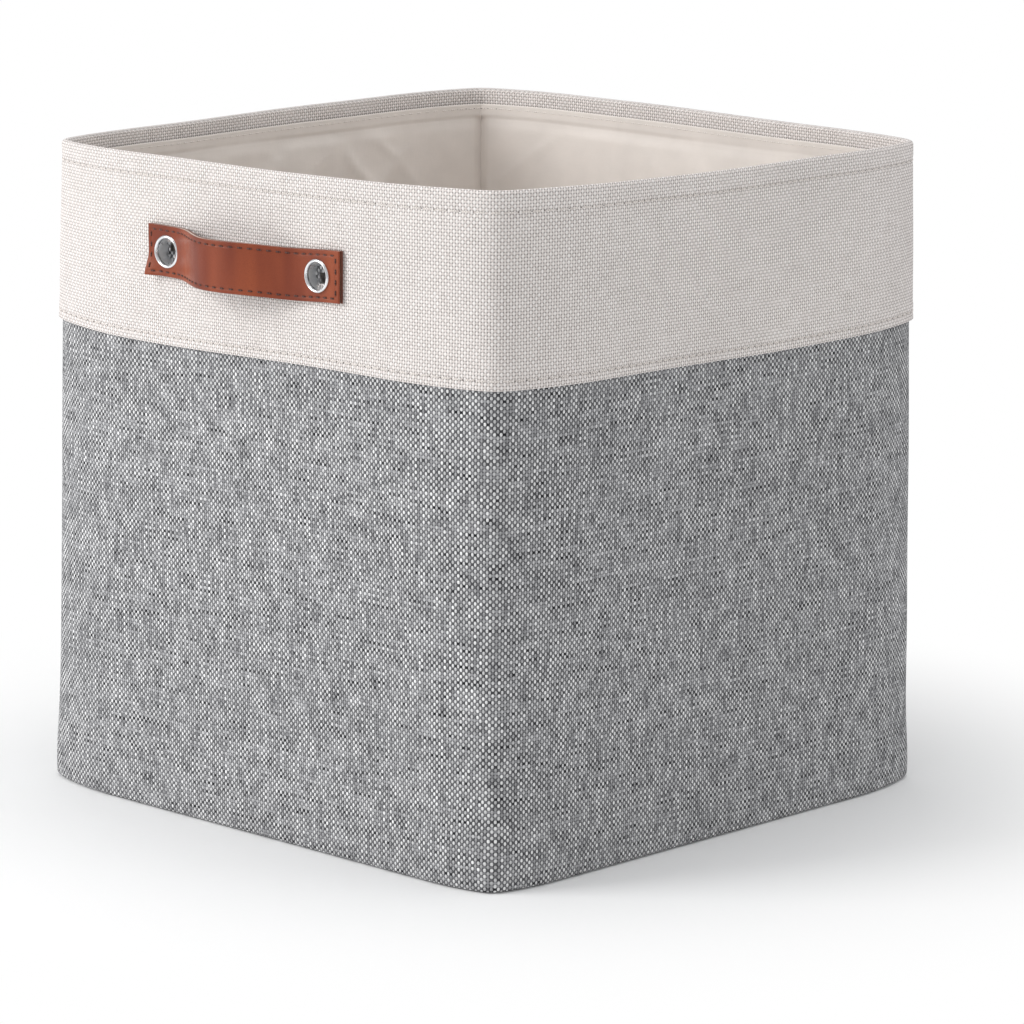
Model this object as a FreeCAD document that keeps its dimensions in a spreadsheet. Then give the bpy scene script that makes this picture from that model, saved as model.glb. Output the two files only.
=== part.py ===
import FreeCAD, Part
import math
import os
import Sketcher

# Fabric storage bin: a soft square box of grey canvas with a cream band folded over its rim, a thin
# lining, stiff boards in the walls, a loose base board, and two leather handles held by eyelets.
# Millimetres. +Z is up, the origin is on the floor at the middle of the base, the handles face -Y
# (front) and +Y (rear).

doc = FreeCAD.newDocument("fabric_storage_bin")

# ---------------------------------------------------------------- driving dimensions
SIZES = [
    ("bin_width", 330.0, "outside width of the grey canvas, both ways"),
    ("bin_height", 330.0, "floor to rim"),
    ("bottom_corner", 35.0, "corner radius of the canvas at the floor"),
    ("rim_corner", 52.5, "corner radius of the canvas at the rim"),
    ("bottom_round", 6.0, "rounding where the walls turn under the base"),
    ("canvas", 1.2, "thickness of the grey and cream canvas"),
    ("wrap_top", 326.0, "height of the grey canvas inside the band"),
    ("ply_gap", 0.3, "air between two layers of a wall"),
    ("panel_gap", 0.4, "seam gap between neighbouring cloth panels"),
    ("band_bottom", 238.0, "lower edge of the cream band"),
    ("band_turn_in", 28.0, "how far the band reaches down inside the rim"),
    ("rim_round", 1.5, "rounding of the folded rim"),
    ("wall_board", 1.5, "thickness of a wall board"),
    ("wall_board_width", 230.0, "width of a wall board, between the round corners"),
    ("wall_board_low", 6.5, "lower edge of a wall board"),
    ("wall_board_high", 300.0, "upper edge of a wall board"),
    ("board_corner", 4.0, "corner radius of a wall board"),
    ("lining", 0.6, "thickness of the lining cloth"),
    ("lining_inset", 4.5, "canvas outer face to lining outer face"),
    ("lining_top", 322.0, "upper edge of the lining"),
    ("base_board_width", 309.0, "width of the loose base board with its cover"),
    ("base_board_corner", 40.0, "corner radius of the loose base board"),
    ("base_board_core", 3.0, "thickness of the board inside the cover"),
    ("base_board_low", 2.4, "underside of the loose base board"),
    ("cover_slack", 0.1, "air between the board and its cover"),
    ("thread", 0.4, "how far stitching stands proud"),
    ("thread_width", 0.7, "width of a line of stitching"),
    ("rim_stitch_height", 320.0, "topstitch below the rim"),
    ("hem_stitch_height", 242.5, "topstitch above the band's lower edge"),
    ("lining_stitch_height", 319.5, "stitching at the top of the lining"),
    ("handle_height", 283.5, "middle of the handles above the floor"),
    ("strap_length", 132.0, "end to end, measured along the wall"),
    ("strap_width", 25.0, "width of the strap"),
    ("strap_rest", 0.1, "air between the strap's ends and the wall"),
    ("leather", 1.2, "front leather of the strap"),
    ("strap_core", 0.8, "pale core of the strap"),
    ("backing", 1.0, "back leather of the strap"),
    ("tab_length", 22.0, "flat left end of the strap"),
    ("bow_height", 16.9, "how far the strap's middle stands out"),
    ("rise_angle", 30.0, "slope up from the left end"),
    ("fall_angle", 25.0, "slope down to the right end"),
    ("tab_bend", 14.0, "bend radius where the strap leaves its ends"),
    ("crest_bend", 30.0, "bend radius at the top of the bow"),
    ("strap_stitch_inset", 2.2, "strap edge to stitching"),
    ("eyelet_offset", 52.0, "middle of the handle to an eyelet"),
    ("eyelet_flange", 8.0, "outer radius of an eyelet"),
    ("eyelet_bore", 6.4, "clear radius through an eyelet"),
    ("eyelet_wall", 0.5, "sheet thickness of an eyelet"),
    ("eyelet_crown", 1.3, "height of the domed flange"),
    ("eyelet_curl", 8.2, "radius of the clinched end"),
    ("washer_radius", 10.0, "outer radius of an eyelet washer"),
    ("hole_clearance", 0.1, "eyelet barrel to hole"),
]

sheet = doc.addObject("Spreadsheet::Sheet", "sizes")
for row, (alias, size, note) in enumerate(SIZES, start=1):
    sheet.set(f"A{row}", alias)
    sheet.set(f"B{row}", str(size))
    sheet.set(f"C{row}", note)
    sheet.setAlias(f"B{row}", alias)
doc.recompute()


def number(expression):
    """Value of an expression in the sheet's cells, as a plain number."""
    found = sheet.evalExpression(expression)
    return float(getattr(found, "Value", found))


def cells(text):
    """Write a formula with bare alias names and get it with the sheet's name before each one."""
    names = sorted((alias for alias, size, note in SIZES), key=len, reverse=True)
    words = []
    for word in text.replace("(", "( ").replace(")", " )").split():
        words.append("sizes." + word if word in names else word)
    return " ".join(words)


# Depths are measured inwards from the outer face of the grey canvas, so the band has depths below 0.
BAND_OUT = cells("0 - ply_gap - canvas")
BAND_IN = cells("0 - ply_gap")
BOARD_OUT = cells("canvas + ply_gap")
BOARD_IN = cells("canvas + ply_gap + wall_board")
TURN_IN_IN = cells("2 * canvas + ply_gap")
LINING_OUT = cells("lining_inset")
LINING_IN = cells("lining_inset + lining")
FLOOR_LOW = cells("canvas + ply_gap")
HALF_WIDTH = cells("bin_width / 2")
BAND_FACE = cells("bin_width / 2 + ply_gap + canvas")
STRAP_BACK = f"{BAND_FACE} + {cells('strap_rest')}"
STRAP_THICK = cells("backing + strap_core + leather")
STRAP_FRONT = f"{STRAP_BACK} + {STRAP_THICK}"
SPINE_DEPTH = f"{STRAP_BACK} + ( {STRAP_THICK} ) / 2"


# ---------------------------------------------------------------- helpers
def new_body(label):
    body = doc.addObject("PartDesign::Body", label)
    body.Label = label
    return body


def origin_plane(body, role):
    return next(item for item in body.Origin.OriginFeatures if item.Role == role)


def new_sketch(body, name, role, offset):
    """A sketch on one of the body's own planes, moved along the plane's normal by a formula."""
    sketch = body.newObject("Sketcher::SketchObject", f"{body.Name}_{name}")
    sketch.AttachmentSupport = [(origin_plane(body, role), "")]
    sketch.MapMode = "FlatFace"
    sketch.setExpression("AttachmentOffset.Base.z", offset)
    return sketch


def fix(sketch, kind, where, formula):
    """A dimension constraint whose value follows a formula."""
    index = sketch.addConstraint(Sketcher.Constraint(kind, *where, number(formula)))
    sketch.setExpression(f"Constraints[{index}]", formula)


def line(sketch, start, end):
    return sketch.addGeometry(Part.LineSegment(FreeCAD.Vector(*start, 0), FreeCAD.Vector(*end, 0)))


def arc(sketch, centre, radius, start_angle, end_angle):
    circle = Part.Circle(FreeCAD.Vector(*centre, 0), FreeCAD.Vector(0, 0, 1), radius)
    return sketch.addGeometry(Part.ArcOfCircle(circle, math.radians(start_angle), math.radians(end_angle)))


def polygon(sketch, corners):
    """A closed outline whose corners (x formula, y formula) are each held to the sheet."""
    points = [(number(x), number(y)) for x, y in corners]
    count = len(points)
    for index in range(count):
        line(sketch, points[index], points[(index + 1) % count])
    for index in range(count):
        sketch.addConstraint(Sketcher.Constraint("Coincident", index, 2, (index + 1) % count, 1))
        fix(sketch, "DistanceX", (index, 1), corners[index][0])
        fix(sketch, "DistanceY", (index, 1), corners[index][1])


def rectangle(sketch, low_x, high_x, low_y, high_y):
    polygon(sketch, [(low_x, low_y), (high_x, low_y), (high_x, high_y), (low_x, high_y)])


def rounded_square(sketch, half, radius):
    """Four sides and four tangent corner arcs about the sketch's origin."""
    side = number(half)
    bend = number(radius)
    run = side - bend
    ends = [((-run, -side), (run, -side)), ((side, -run), (side, run)),
            ((run, side), (-run, side)), ((-side, run), (-side, -run))]
    centres = [(run, -run), (run, run), (-run, run), (-run, -run)]
    for index in range(4):
        line(sketch, *ends[index])
        arc(sketch, centres[index], bend, index * 90 - 90, index * 90)
    for index in range(4):
        sketch.addConstraint(Sketcher.Constraint("Tangent", 2 * index, 2, 2 * index + 1, 1))
        sketch.addConstraint(Sketcher.Constraint("Tangent", 2 * index + 1, 2, (2 * index + 2) % 8, 1))
        direction = "Horizontal" if index % 2 == 0 else "Vertical"
        sketch.addConstraint(Sketcher.Constraint(direction, 2 * index))
    for index in range(3):
        sketch.addConstraint(Sketcher.Constraint("Equal", 2 * index + 1, 2 * index + 3))
    fix(sketch, "Radius", (1,), radius)
    fix(sketch, "DistanceY", (0, 1), f"0 - ( {half} )")
    fix(sketch, "DistanceX", (2, 1), half)
    fix(sketch, "DistanceY", (4, 1), half)
    fix(sketch, "DistanceX", (6, 1), f"0 - ( {half} )")


def wall_section(body, name, height, depth):
    """The bin's outline at a height, at a depth in from the canvas: its corners widen upwards."""
    sketch = new_sketch(body, name, "XY_Plane", height)
    grown = cells("bottom_corner + ( rim_corner - bottom_corner )")
    radius = f"{grown} * ( {height} ) / {cells('bin_height')} - ( {depth} )"
    rounded_square(sketch, f"{HALF_WIDTH} - ( {depth} )", radius)
    return sketch


def wall_loft(body, name, kind, low, high, depth):
    """Straight-sided loft between two heights at one depth; kind is Additive or Subtractive."""
    lower = wall_section(body, f"{name}_low", low, depth)
    upper = wall_section(body, f"{name}_high", high, depth)
    doc.recompute()
    loft = body.newObject(f"PartDesign::{kind}Loft", f"{body.Name}_{name}")
    loft.Profile = lower
    loft.Sections = [upper]
    loft.Ruled = True
    doc.recompute()
    return loft


def wall_ring(body, low, high, outer, inner):
    """A tube that follows the walls, open at both ends."""
    wall_loft(body, "outside", "Additive", low, high, outer)
    wall_loft(body, "inside", "Subtractive", f"{low} - 1", f"{high} + 1", inner)


def pad(body, sketch, name, length):
    feature = body.newObject("PartDesign::Pad", f"{body.Name}_{name}")
    feature.Profile = sketch
    feature.setExpression("Length", length)
    doc.recompute()
    return feature


def cut_through(body, sketch, name):
    """Remove the sketch's area from the whole body, on both sides of the sketch's plane."""
    before = body.Shape.Volume
    feature = body.newObject("PartDesign::Pocket", f"{body.Name}_{name}")
    feature.Profile = sketch
    feature.Midplane = True
    feature.Length = 2000
    doc.recompute()
    if body.Shape.Volume >= before:
        raise ValueError(f"{feature.Name} cuts nothing")
    return feature


def round_edges(body, name, radius, chosen):
    """Fillet the edges of the finished shape that the test picks out."""
    base = body.Tip
    names = [f"Edge{index}" for index, edge in enumerate(base.Shape.Edges, start=1) if chosen(edge)]
    fillet = body.newObject("PartDesign::Fillet", f"{body.Name}_{name}")
    fillet.Base = (base, names)
    fillet.setExpression("Radius", radius)
    doc.recompute()
    return fillet


def at_height(height, depth):
    """Test for edges that lie at one height on the outline of one depth."""
    level = number(height)
    side = number(f"{HALF_WIDTH} - ( {depth} )")

    def chosen(edge):
        box = edge.BoundBox
        reach = max(abs(box.XMin), abs(box.XMax), abs(box.YMin), abs(box.YMax))
        flat = abs(box.ZMin - level) < 0.01 and abs(box.ZMax - level) < 0.01
        return flat and abs(reach - side) < 0.01
    return chosen


def turn(body, angle):
    body.Placement = FreeCAD.Placement(FreeCAD.Vector(0, 0, 0), FreeCAD.Rotation(FreeCAD.Vector(0, 0, 1), angle))


def eyelet_holes(body):
    """Clear holes for both eyelets of a handle, square to the front and rear walls."""
    sketch = new_sketch(body, "eyelet_holes", "XZ_Plane", "0")
    radius = cells("eyelet_bore + eyelet_wall + hole_clearance")
    for side in (-1, 1):
        middle = FreeCAD.Vector(side * number(cells("eyelet_offset")), number(cells("handle_height")), 0)
        circle = sketch.addGeometry(Part.Circle(middle, FreeCAD.Vector(0, 0, 1), number(radius)))
        fix(sketch, "Radius", (circle,), radius)
        fix(sketch, "DistanceX", (circle, 3), f"{side} * {cells('eyelet_offset')}")
        fix(sketch, "DistanceY", (circle, 3), cells("handle_height"))
    doc.recompute()
    cut_through(body, sketch, "eyelet_cut")


# ---------------------------------------------------------------- canvas shell
def outer_wrap():
    """Grey canvas walls, turned under at the floor with a soft rounding."""
    body = new_body("outer_wrap")
    wall_loft(body, "outside", "Additive", "0", cells("wrap_top"), "0")
    wall_loft(body, "inside", "Subtractive", cells("canvas"), cells("wrap_top + 1"), cells("canvas"))
    inner_round = cells("bottom_round - canvas")
    round_edges(body, "inside_round", inner_round, at_height(cells("canvas"), cells("canvas")))
    round_edges(body, "outside_round", cells("bottom_round"), at_height("0", "0"))
    opening = wall_section(body, "base_opening", "0", cells("bottom_round + panel_gap"))
    doc.recompute()
    pocket = body.newObject("PartDesign::Pocket", f"{body.Name}_base_cut")
    pocket.Profile = opening
    pocket.Midplane = True
    pocket.setExpression("Length", cells("4 * canvas"))
    doc.recompute()
    eyelet_holes(body)


def outer_base():
    """Grey canvas panel that closes the bottom, sewn to the turned-under walls."""
    body = new_body("outer_base")
    sketch = wall_section(body, "outline", "0", cells("bottom_round + 2 * panel_gap"))
    doc.recompute()
    pad(body, sketch, "panel", cells("canvas"))


def rim_band():
    """Cream canvas folded over the rim: a deep leg outside, a short one inside."""
    body = new_body("rim_band")
    fold_under = cells("bin_height - canvas")
    leg_end = cells("bin_height - band_turn_in")
    wall_loft(body, "outside", "Additive", cells("band_bottom"), cells("bin_height"), BAND_OUT)
    wall_loft(body, "hollow", "Subtractive", cells("band_bottom - 1"), fold_under, BAND_IN)
    wall_loft(body, "turn_in", "Additive", leg_end, cells("bin_height - canvas / 2"), BOARD_OUT)
    wall_loft(body, "mouth", "Subtractive", f"{leg_end} - 1", cells("bin_height + 1"), TURN_IN_IN)
    round_edges(body, "rim_outside", cells("rim_round"), at_height(cells("bin_height"), BAND_OUT))
    round_edges(body, "rim_inside", cells("rim_round"), at_height(cells("bin_height"), TURN_IN_IN))
    eyelet_holes(body)


# ---------------------------------------------------------------- lining
def lining_wall(label, angle):
    """One wall of the lining, from corner seam to corner seam."""
    body = new_body(label)
    wall_ring(body, FLOOR_LOW, cells("lining_top"), LINING_OUT, LINING_IN)
    sketch = new_sketch(body, "other_walls", "XY_Plane", "0")
    apex = cells("0 - panel_gap")
    far = cells("bin_width")
    near = f"0 - {far} + {apex}"
    polygon(sketch, [("0", apex), (far, near), (far, far), (f"0 - {far}", far), (f"0 - {far}", near)])
    doc.recompute()
    cut_through(body, sketch, "other_walls_cut")
    turn(body, angle)


def lining_floor():
    """Lining cloth over the bottom of the bin."""
    body = new_body("lining_floor")
    depth = f"{LINING_IN} + {cells('panel_gap')}"
    sketch = wall_section(body, "outline", FLOOR_LOW, depth)
    doc.recompute()
    pad(body, sketch, "panel", cells("lining"))


# ---------------------------------------------------------------- boards
def wall_board(label, angle, with_eyelets):
    """Stiff board inside a wall, between the canvas and the lining."""
    body = new_body(label)
    sketch = new_sketch(body, "outline", "XZ_Plane", f"{HALF_WIDTH} - ( {BOARD_IN} )")
    half = cells("wall_board_width / 2")
    rectangle(sketch, f"0 - {half}", half, cells("wall_board_low"), cells("wall_board_high"))
    doc.recompute()
    pad(body, sketch, "board", cells("wall_board"))
    if with_eyelets:
        eyelet_holes(body)
    thickness = number(cells("wall_board"))
    round_edges(body, "corners", cells("board_corner"),
                lambda edge: edge.BoundBox.YLength > thickness * 0.9 and edge.BoundBox.ZLength < 0.01
                and edge.BoundBox.XLength < 0.01 and edge.Curve.TypeId == "Part::GeomLine")
    turn(body, angle)


def base_board_block(body, name, kind, shrink, low, high):
    """A rounded square slab, smaller than the base board all round by the given formula."""
    sketch = new_sketch(body, name, "XY_Plane", low)
    half = cells("base_board_width / 2")
    rounded_square(sketch, f"{half} - ( {shrink} )", f"{cells('base_board_corner')} - ( {shrink} )")
    doc.recompute()
    feature = body.newObject(f"PartDesign::{kind}", f"{body.Name}_{name}_{kind.lower()}")
    feature.Profile = sketch
    feature.setExpression("Length", f"{high} - ( {low} )")
    feature.Reversed = kind == "Pocket"
    doc.recompute()


def base_board_core():
    """Loose board that lies on the floor of the bin and keeps the base flat."""
    body = new_body("base_board_core")
    low = cells("base_board_low + lining + cover_slack")
    high = f"{low} + {cells('base_board_core')}"
    base_board_block(body, "board", "Pad", cells("lining + cover_slack"), low, high)


def base_board_cover():
    """Cloth wrapped all round the loose board."""
    body = new_body("base_board_cover")
    low = cells("base_board_low")
    high = f"{low} + {cells('base_board_core + 2 * lining + 2 * cover_slack')}"
    base_board_block(body, "outside", "Pad", "0", low, high)
    inside_low = f"{low} + {cells('lining')}"
    inside_high = f"{high} - {cells('lining')}"
    base_board_block(body, "inside", "Pocket", cells("lining"), inside_low, inside_high)


# ---------------------------------------------------------------- stitching round the walls
def stitch_ring(label, height, face, outward):
    """A line of stitching that stands proud of a face, outwards or inwards."""
    body = new_body(label)
    low = f"{height} - {cells('thread_width / 2')}"
    high = f"{height} + {cells('thread_width / 2')}"
    proud = cells("thread")
    if outward:
        wall_ring(body, low, high, f"{face} - {proud}", face)
    else:
        wall_ring(body, low, high, face, f"{face} + {proud}")


# ---------------------------------------------------------------- handles
def strap_spine(body, end_inset):
    """Middle line of the strap: flat end, rise, crest, fall, flat end, each joined by a tangent arc."""
    sketch = new_sketch(body, "spine", "XY_Plane", cells("handle_height"))
    rise = number(cells("rise_angle"))
    fall = number(cells("fall_angle"))
    bend = number(cells("tab_bend"))
    crest = number(cells("crest_bend"))
    bow = number(cells("bow_height"))
    left = -number(cells("strap_length / 2")) + number(end_inset)
    right = -left
    wall = -number(SPINE_DEPTH)

    def sine(angle):
        return math.sin(math.radians(angle))

    def drop(radius, angle):
        return radius * (1 - math.cos(math.radians(angle)))

    tab_end = -number(cells("strap_length / 2 - tab_length"))
    climb = bow - drop(bend, rise) - drop(crest, rise)
    first = (tab_end + bend * sine(rise), wall - drop(bend, rise))
    second = (first[0] + climb / math.tan(math.radians(rise)), first[1] - climb)
    top = second[0] + crest * sine(rise)
    third = (top + crest * sine(fall), wall - bow + drop(crest, fall))
    descent = bow - drop(bend, fall) - drop(crest, fall)
    fourth = (third[0] + descent / math.tan(math.radians(fall)), third[1] + descent)
    tab_start = fourth[0] + bend * sine(fall)
    line(sketch, (left, wall), (tab_end, wall))
    arc(sketch, (tab_end, wall - bend), bend, 90 - rise, 90)
    line(sketch, first, second)
    arc(sketch, (top, wall - bow + crest), crest, 270 - rise, 270 + fall)
    line(sketch, third, fourth)
    arc(sketch, (tab_start, wall - bend), bend, 90, 90 + fall)
    line(sketch, (tab_start, wall), (right, wall))
    joins = [(0, 2, 1, 2), (1, 1, 2, 1), (2, 2, 3, 1), (3, 2, 4, 1), (4, 2, 5, 2), (5, 1, 6, 1)]
    for join in joins:
        sketch.addConstraint(Sketcher.Constraint("Tangent", *join))
    sketch.addConstraint(Sketcher.Constraint("Horizontal", 0))
    sketch.addConstraint(Sketcher.Constraint("Horizontal", 6))
    half = f"{cells('strap_length / 2')} - ( {end_inset} )"
    fix(sketch, "DistanceX", (0, 1), f"0 - ( {half} )")
    fix(sketch, "DistanceY", (0, 1), f"0 - ( {SPINE_DEPTH} )")
    fix(sketch, "DistanceX", (6, 2), half)
    fix(sketch, "DistanceY", (6, 2), f"0 - ( {SPINE_DEPTH} )")
    fix(sketch, "DistanceX", (0, 2), cells("0 - ( strap_length / 2 - tab_length )"))
    fix(sketch, "Radius", (1,), cells("tab_bend"))
    fix(sketch, "Radius", (5,), cells("tab_bend"))
    fix(sketch, "Radius", (3,), cells("crest_bend"))
    fix(sketch, "DistanceY", (3, 3), f"{cells('crest_bend - bow_height')} - ( {SPINE_DEPTH} )")
    fix(sketch, "DistanceX", (2, 1, 2, 2), f"{climb_formula()} / tan({cells('rise_angle')} * 1 deg)")
    return sketch


def climb_formula():
    """Height gained along the straight part of the rise."""
    turned = f"( 1 - cos({cells('rise_angle')} * 1 deg) )"
    return f"( {cells('bow_height')} - {cells('( tab_bend + crest_bend )')} * {turned} )"


def strap_layer(label, angle, behind, thickness, edge_inset):
    """One layer of a strap, swept along its middle line; behind is the depth in front of the wall."""
    body = new_body(label)
    spine = strap_spine(body, edge_inset)
    start = f"0 - ( {cells('strap_length / 2')} - ( {edge_inset} ) )"
    profile = new_sketch(body, "profile", "YZ_Plane", start)
    back = f"0 - ( {STRAP_BACK} + {behind} )"
    half = f"( {cells('strap_width / 2')} - ( {edge_inset} ) )"
    middle = cells("handle_height")
    rectangle(profile, f"{back} - ( {thickness} )", back, f"{middle} - {half}", f"{middle} + {half}")
    doc.recompute()
    pipe = body.newObject("PartDesign::AdditivePipe", f"{body.Name}_sweep")
    pipe.Profile = profile
    pipe.Spine = (spine, [f"Edge{index}" for index in range(1, 8)])
    doc.recompute()
    turn(body, angle)
    return body


def handle(side, angle):
    """The layers and the stitching of one handle."""
    gap = cells("strap_rest / 2")
    layers = [
        ("backing", "0", cells("backing")),
        ("core", f"{cells('backing')} + {gap}", f"{cells('strap_core')} - 2 * {gap}"),
        ("leather", cells("backing + strap_core"), cells("leather")),
    ]
    for name, behind, thickness in layers:
        eyelet_holes(strap_layer(f"handle_{side}_{name}", angle, behind, thickness, "0"))
    inset = cells("strap_stitch_inset")
    stitching = strap_layer(f"handle_{side}_stitching", angle, STRAP_THICK, cells("thread"), inset)
    middle = new_sketch(stitching, "middle", "XZ_Plane", "0")
    reach = cells("strap_length / 2 - strap_stitch_inset - thread_width")
    rise = cells("( strap_width / 2 - strap_stitch_inset - thread_width )")
    centre = cells("handle_height")
    rectangle(middle, f"0 - ( {reach} )", reach, f"{centre} - {rise}", f"{centre} + {rise}")
    doc.recompute()
    cut_through(stitching, middle, "middle_cut")


def place_at_eyelet(body, turned, offset):
    """Move a piece that is turned about the Y axis to one of the handle's eyelets."""
    rotation = FreeCAD.Rotation(FreeCAD.Vector(0, 0, 1), 180 if turned else 0)
    spot = FreeCAD.Vector(offset, 0, number(cells("handle_height")))
    body.Placement = FreeCAD.Placement(rotation.multVec(spot), rotation)


def revolve_about_y(body, corners, crown):
    """Turn a profile of (radius, distance in front of the bin's middle) round the Y axis."""
    sketch = new_sketch(body, "profile", "XY_Plane", "0")
    placed = [(radius, f"0 - ( {distance} )") for radius, distance in corners]
    polygon(sketch, placed)
    doc.recompute()
    feature = body.newObject("PartDesign::Revolution", f"{body.Name}_turned")
    feature.Profile = sketch
    feature.ReferenceAxis = (sketch, ["V_Axis"])
    feature.Angle = 360
    doc.recompute()
    if crown:
        height = number(f"0 - ( {STRAP_FRONT} + {cells('eyelet_crown')} )")
        round_edges(body, "crown", cells("( eyelet_flange - eyelet_bore ) * 0.45"),
                    lambda edge: abs(edge.BoundBox.YMin - height) < 0.01 and edge.BoundBox.YLength < 0.01)


def eyelet(side, hand, turned, offset):
    """Hollow eyelet: domed flange in front of the strap, barrel through the wall, curled end inside."""
    body = new_body(f"eyelet_{side}_{hand}")
    bore = cells("eyelet_bore")
    barrel = cells("eyelet_bore + eyelet_wall")
    curl_out = f"{HALF_WIDTH} - ( {BOARD_IN} ) - {cells('eyelet_wall')}"
    curl_in = f"{curl_out} - {cells('eyelet_wall')}"
    front = f"{STRAP_FRONT} + {cells('eyelet_crown')}"
    revolve_about_y(body, [(bore, curl_in), (cells("eyelet_curl"), curl_in), (cells("eyelet_curl"), curl_out),
                           (barrel, curl_out), (barrel, STRAP_FRONT), (cells("eyelet_flange"), STRAP_FRONT),
                           (cells("eyelet_flange"), front), (bore, front)], True)
    place_at_eyelet(body, turned, offset)


def eyelet_washer(side, hand, turned, offset):
    """Flat ring that the eyelet is clinched over, behind the wall board."""
    body = new_body(f"eyelet_washer_{side}_{hand}")
    inner = cells("eyelet_bore + eyelet_wall + hole_clearance")
    face = f"{HALF_WIDTH} - ( {BOARD_IN} )"
    back = f"{face} - {cells('( eyelet_wall - hole_clearance )')}"
    outer = cells("washer_radius")
    revolve_about_y(body, [(inner, back), (outer, back), (outer, face), (inner, face)], False)
    place_at_eyelet(body, turned, offset)


# ---------------------------------------------------------------- assembly
WALLS = [("front", 0), ("right", 90), ("rear", 180), ("left", 270)]

outer_wrap()
outer_base()
rim_band()
for name, angle in WALLS:
    lining_wall(f"lining_{name}", angle)
    wall_board(f"wall_board_{name}", angle, name in ("front", "rear"))
lining_floor()
base_board_core()
base_board_cover()
stitch_ring("rim_stitching", cells("rim_stitch_height"), BAND_OUT, True)
stitch_ring("hem_stitching", cells("hem_stitch_height"), BAND_OUT, True)
stitch_ring("lining_stitching", cells("lining_stitch_height"), LINING_IN, False)
for side, angle in (("front", 0), ("rear", 180)):
    handle(side, angle)
    for hand, sign in (("left", -1), ("right", 1)):
        spot = sign * number(cells("eyelet_offset"))
        eyelet(side, hand, side == "rear", spot)
        eyelet_washer(side, hand, side == "rear", spot)
doc.recompute()

# ---------------------------------------------------------------- checks and files
for item in doc.Objects:
    if "Invalid" in item.State or "Error" in item.State:
        raise ValueError(f"{item.Name} failed: {item.State}")

bodies = [item for item in doc.Objects if item.TypeId == "PartDesign::Body"]
os.makedirs("parts", exist_ok=True)
for body in bodies:
    if body.Shape.isNull() or not body.Shape.isValid() or len(body.Shape.Solids) != 1:
        raise ValueError(f"{body.Label} is not one valid solid")
for body in bodies:
    body.Shape.exportStep(f"parts/{body.Label}.step")
    box = body.Shape.BoundBox
    print(f"{body.Label:28s} {box.XMin:8.2f} {box.XMax:8.2f} {box.YMin:8.2f} {box.YMax:8.2f} "
          f"{box.ZMin:8.2f} {box.ZMax:8.2f}  {body.Shape.Volume / 1000:9.3f} cm3")
print(len(bodies), "pieces")
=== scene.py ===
# %% [markdown]
# # A canvas storage bin, built piece by piece
# The bin is a soft box: grey canvas walls, a cream band folded over the rim, a thin lining, and two
# leather straps held by hollow eyelets. The CAD frame fixes where everything is. This lesson makes
# the parts that a maker would sew, cut or press, and gives each one a finish.

# %% Load the frame
import math

import bmesh
import bpy
import numpy as np
from mathutils import Matrix, Vector


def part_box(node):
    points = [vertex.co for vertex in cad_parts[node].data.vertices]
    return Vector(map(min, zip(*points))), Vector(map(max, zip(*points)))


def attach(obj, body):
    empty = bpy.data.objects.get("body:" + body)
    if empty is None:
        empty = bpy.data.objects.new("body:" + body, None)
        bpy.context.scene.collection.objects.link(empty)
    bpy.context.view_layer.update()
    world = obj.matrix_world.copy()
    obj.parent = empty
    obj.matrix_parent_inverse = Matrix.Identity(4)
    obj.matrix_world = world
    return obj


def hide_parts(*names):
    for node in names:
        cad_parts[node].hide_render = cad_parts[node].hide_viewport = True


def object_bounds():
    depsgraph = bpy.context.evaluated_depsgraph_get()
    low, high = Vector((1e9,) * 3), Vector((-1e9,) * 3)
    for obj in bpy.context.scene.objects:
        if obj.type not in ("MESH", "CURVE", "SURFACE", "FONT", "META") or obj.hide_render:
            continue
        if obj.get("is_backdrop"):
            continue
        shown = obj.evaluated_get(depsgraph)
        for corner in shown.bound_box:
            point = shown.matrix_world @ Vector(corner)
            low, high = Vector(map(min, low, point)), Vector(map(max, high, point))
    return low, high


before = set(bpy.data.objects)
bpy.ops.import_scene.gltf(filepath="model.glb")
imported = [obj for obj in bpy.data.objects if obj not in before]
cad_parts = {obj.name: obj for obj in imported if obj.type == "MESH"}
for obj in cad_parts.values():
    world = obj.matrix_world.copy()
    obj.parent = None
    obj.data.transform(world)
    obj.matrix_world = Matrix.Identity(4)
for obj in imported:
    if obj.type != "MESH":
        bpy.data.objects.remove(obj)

cad_low, cad_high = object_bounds()

# %% [markdown]
# ## Sizes that the pieces share
# Every length is in metres. The outside sizes are read from the frame, so the fabric follows the
# CAD parts. Depths are measured inwards from the outer face of the grey canvas: the band lies
# outside it, so its depths are below zero. Only the size of each corner is stated here, because a
# box can't hold it: how far from the square corner the cloth starts to turn. The corners are tight
# at the floor and open out towards the rim, and the cloth sets a little differently in each one.

# %% Sizes from the frame
MM = 0.001
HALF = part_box("outer_wrap")[1].x
WRAP_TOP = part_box("outer_wrap")[1].z
BAND_LOW, BAND_RIM = (corner.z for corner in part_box("rim_band"))
BAND_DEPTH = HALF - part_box("rim_band")[1].x
LINING_LOW, LINING_TOP = (corner.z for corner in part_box("lining_front"))
LINING_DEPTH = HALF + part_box("lining_front")[0].y
CANVAS = 1.2 * MM
LINING = 0.6 * MM
CORNER_LOW = {"rear_left": 58 * MM, "front_left": 62 * MM, "front_right": 42 * MM, "rear_right": 64 * MM}
CORNER_RIM = {"rear_left": 76 * MM, "front_left": 88 * MM, "front_right": 88 * MM, "rear_right": 88 * MM}
print(f"bin {2 * HALF:.3f} m wide, {BAND_RIM:.3f} m high, band {BAND_RIM - BAND_LOW:.3f} m deep")

# %% [markdown]
# ## Camera
# A long lens from far off keeps the two walls nearly free of perspective. The camera stands a
# little above the rim and off one corner, and is tipped a hair to one side, as a hand-held one is.

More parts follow.
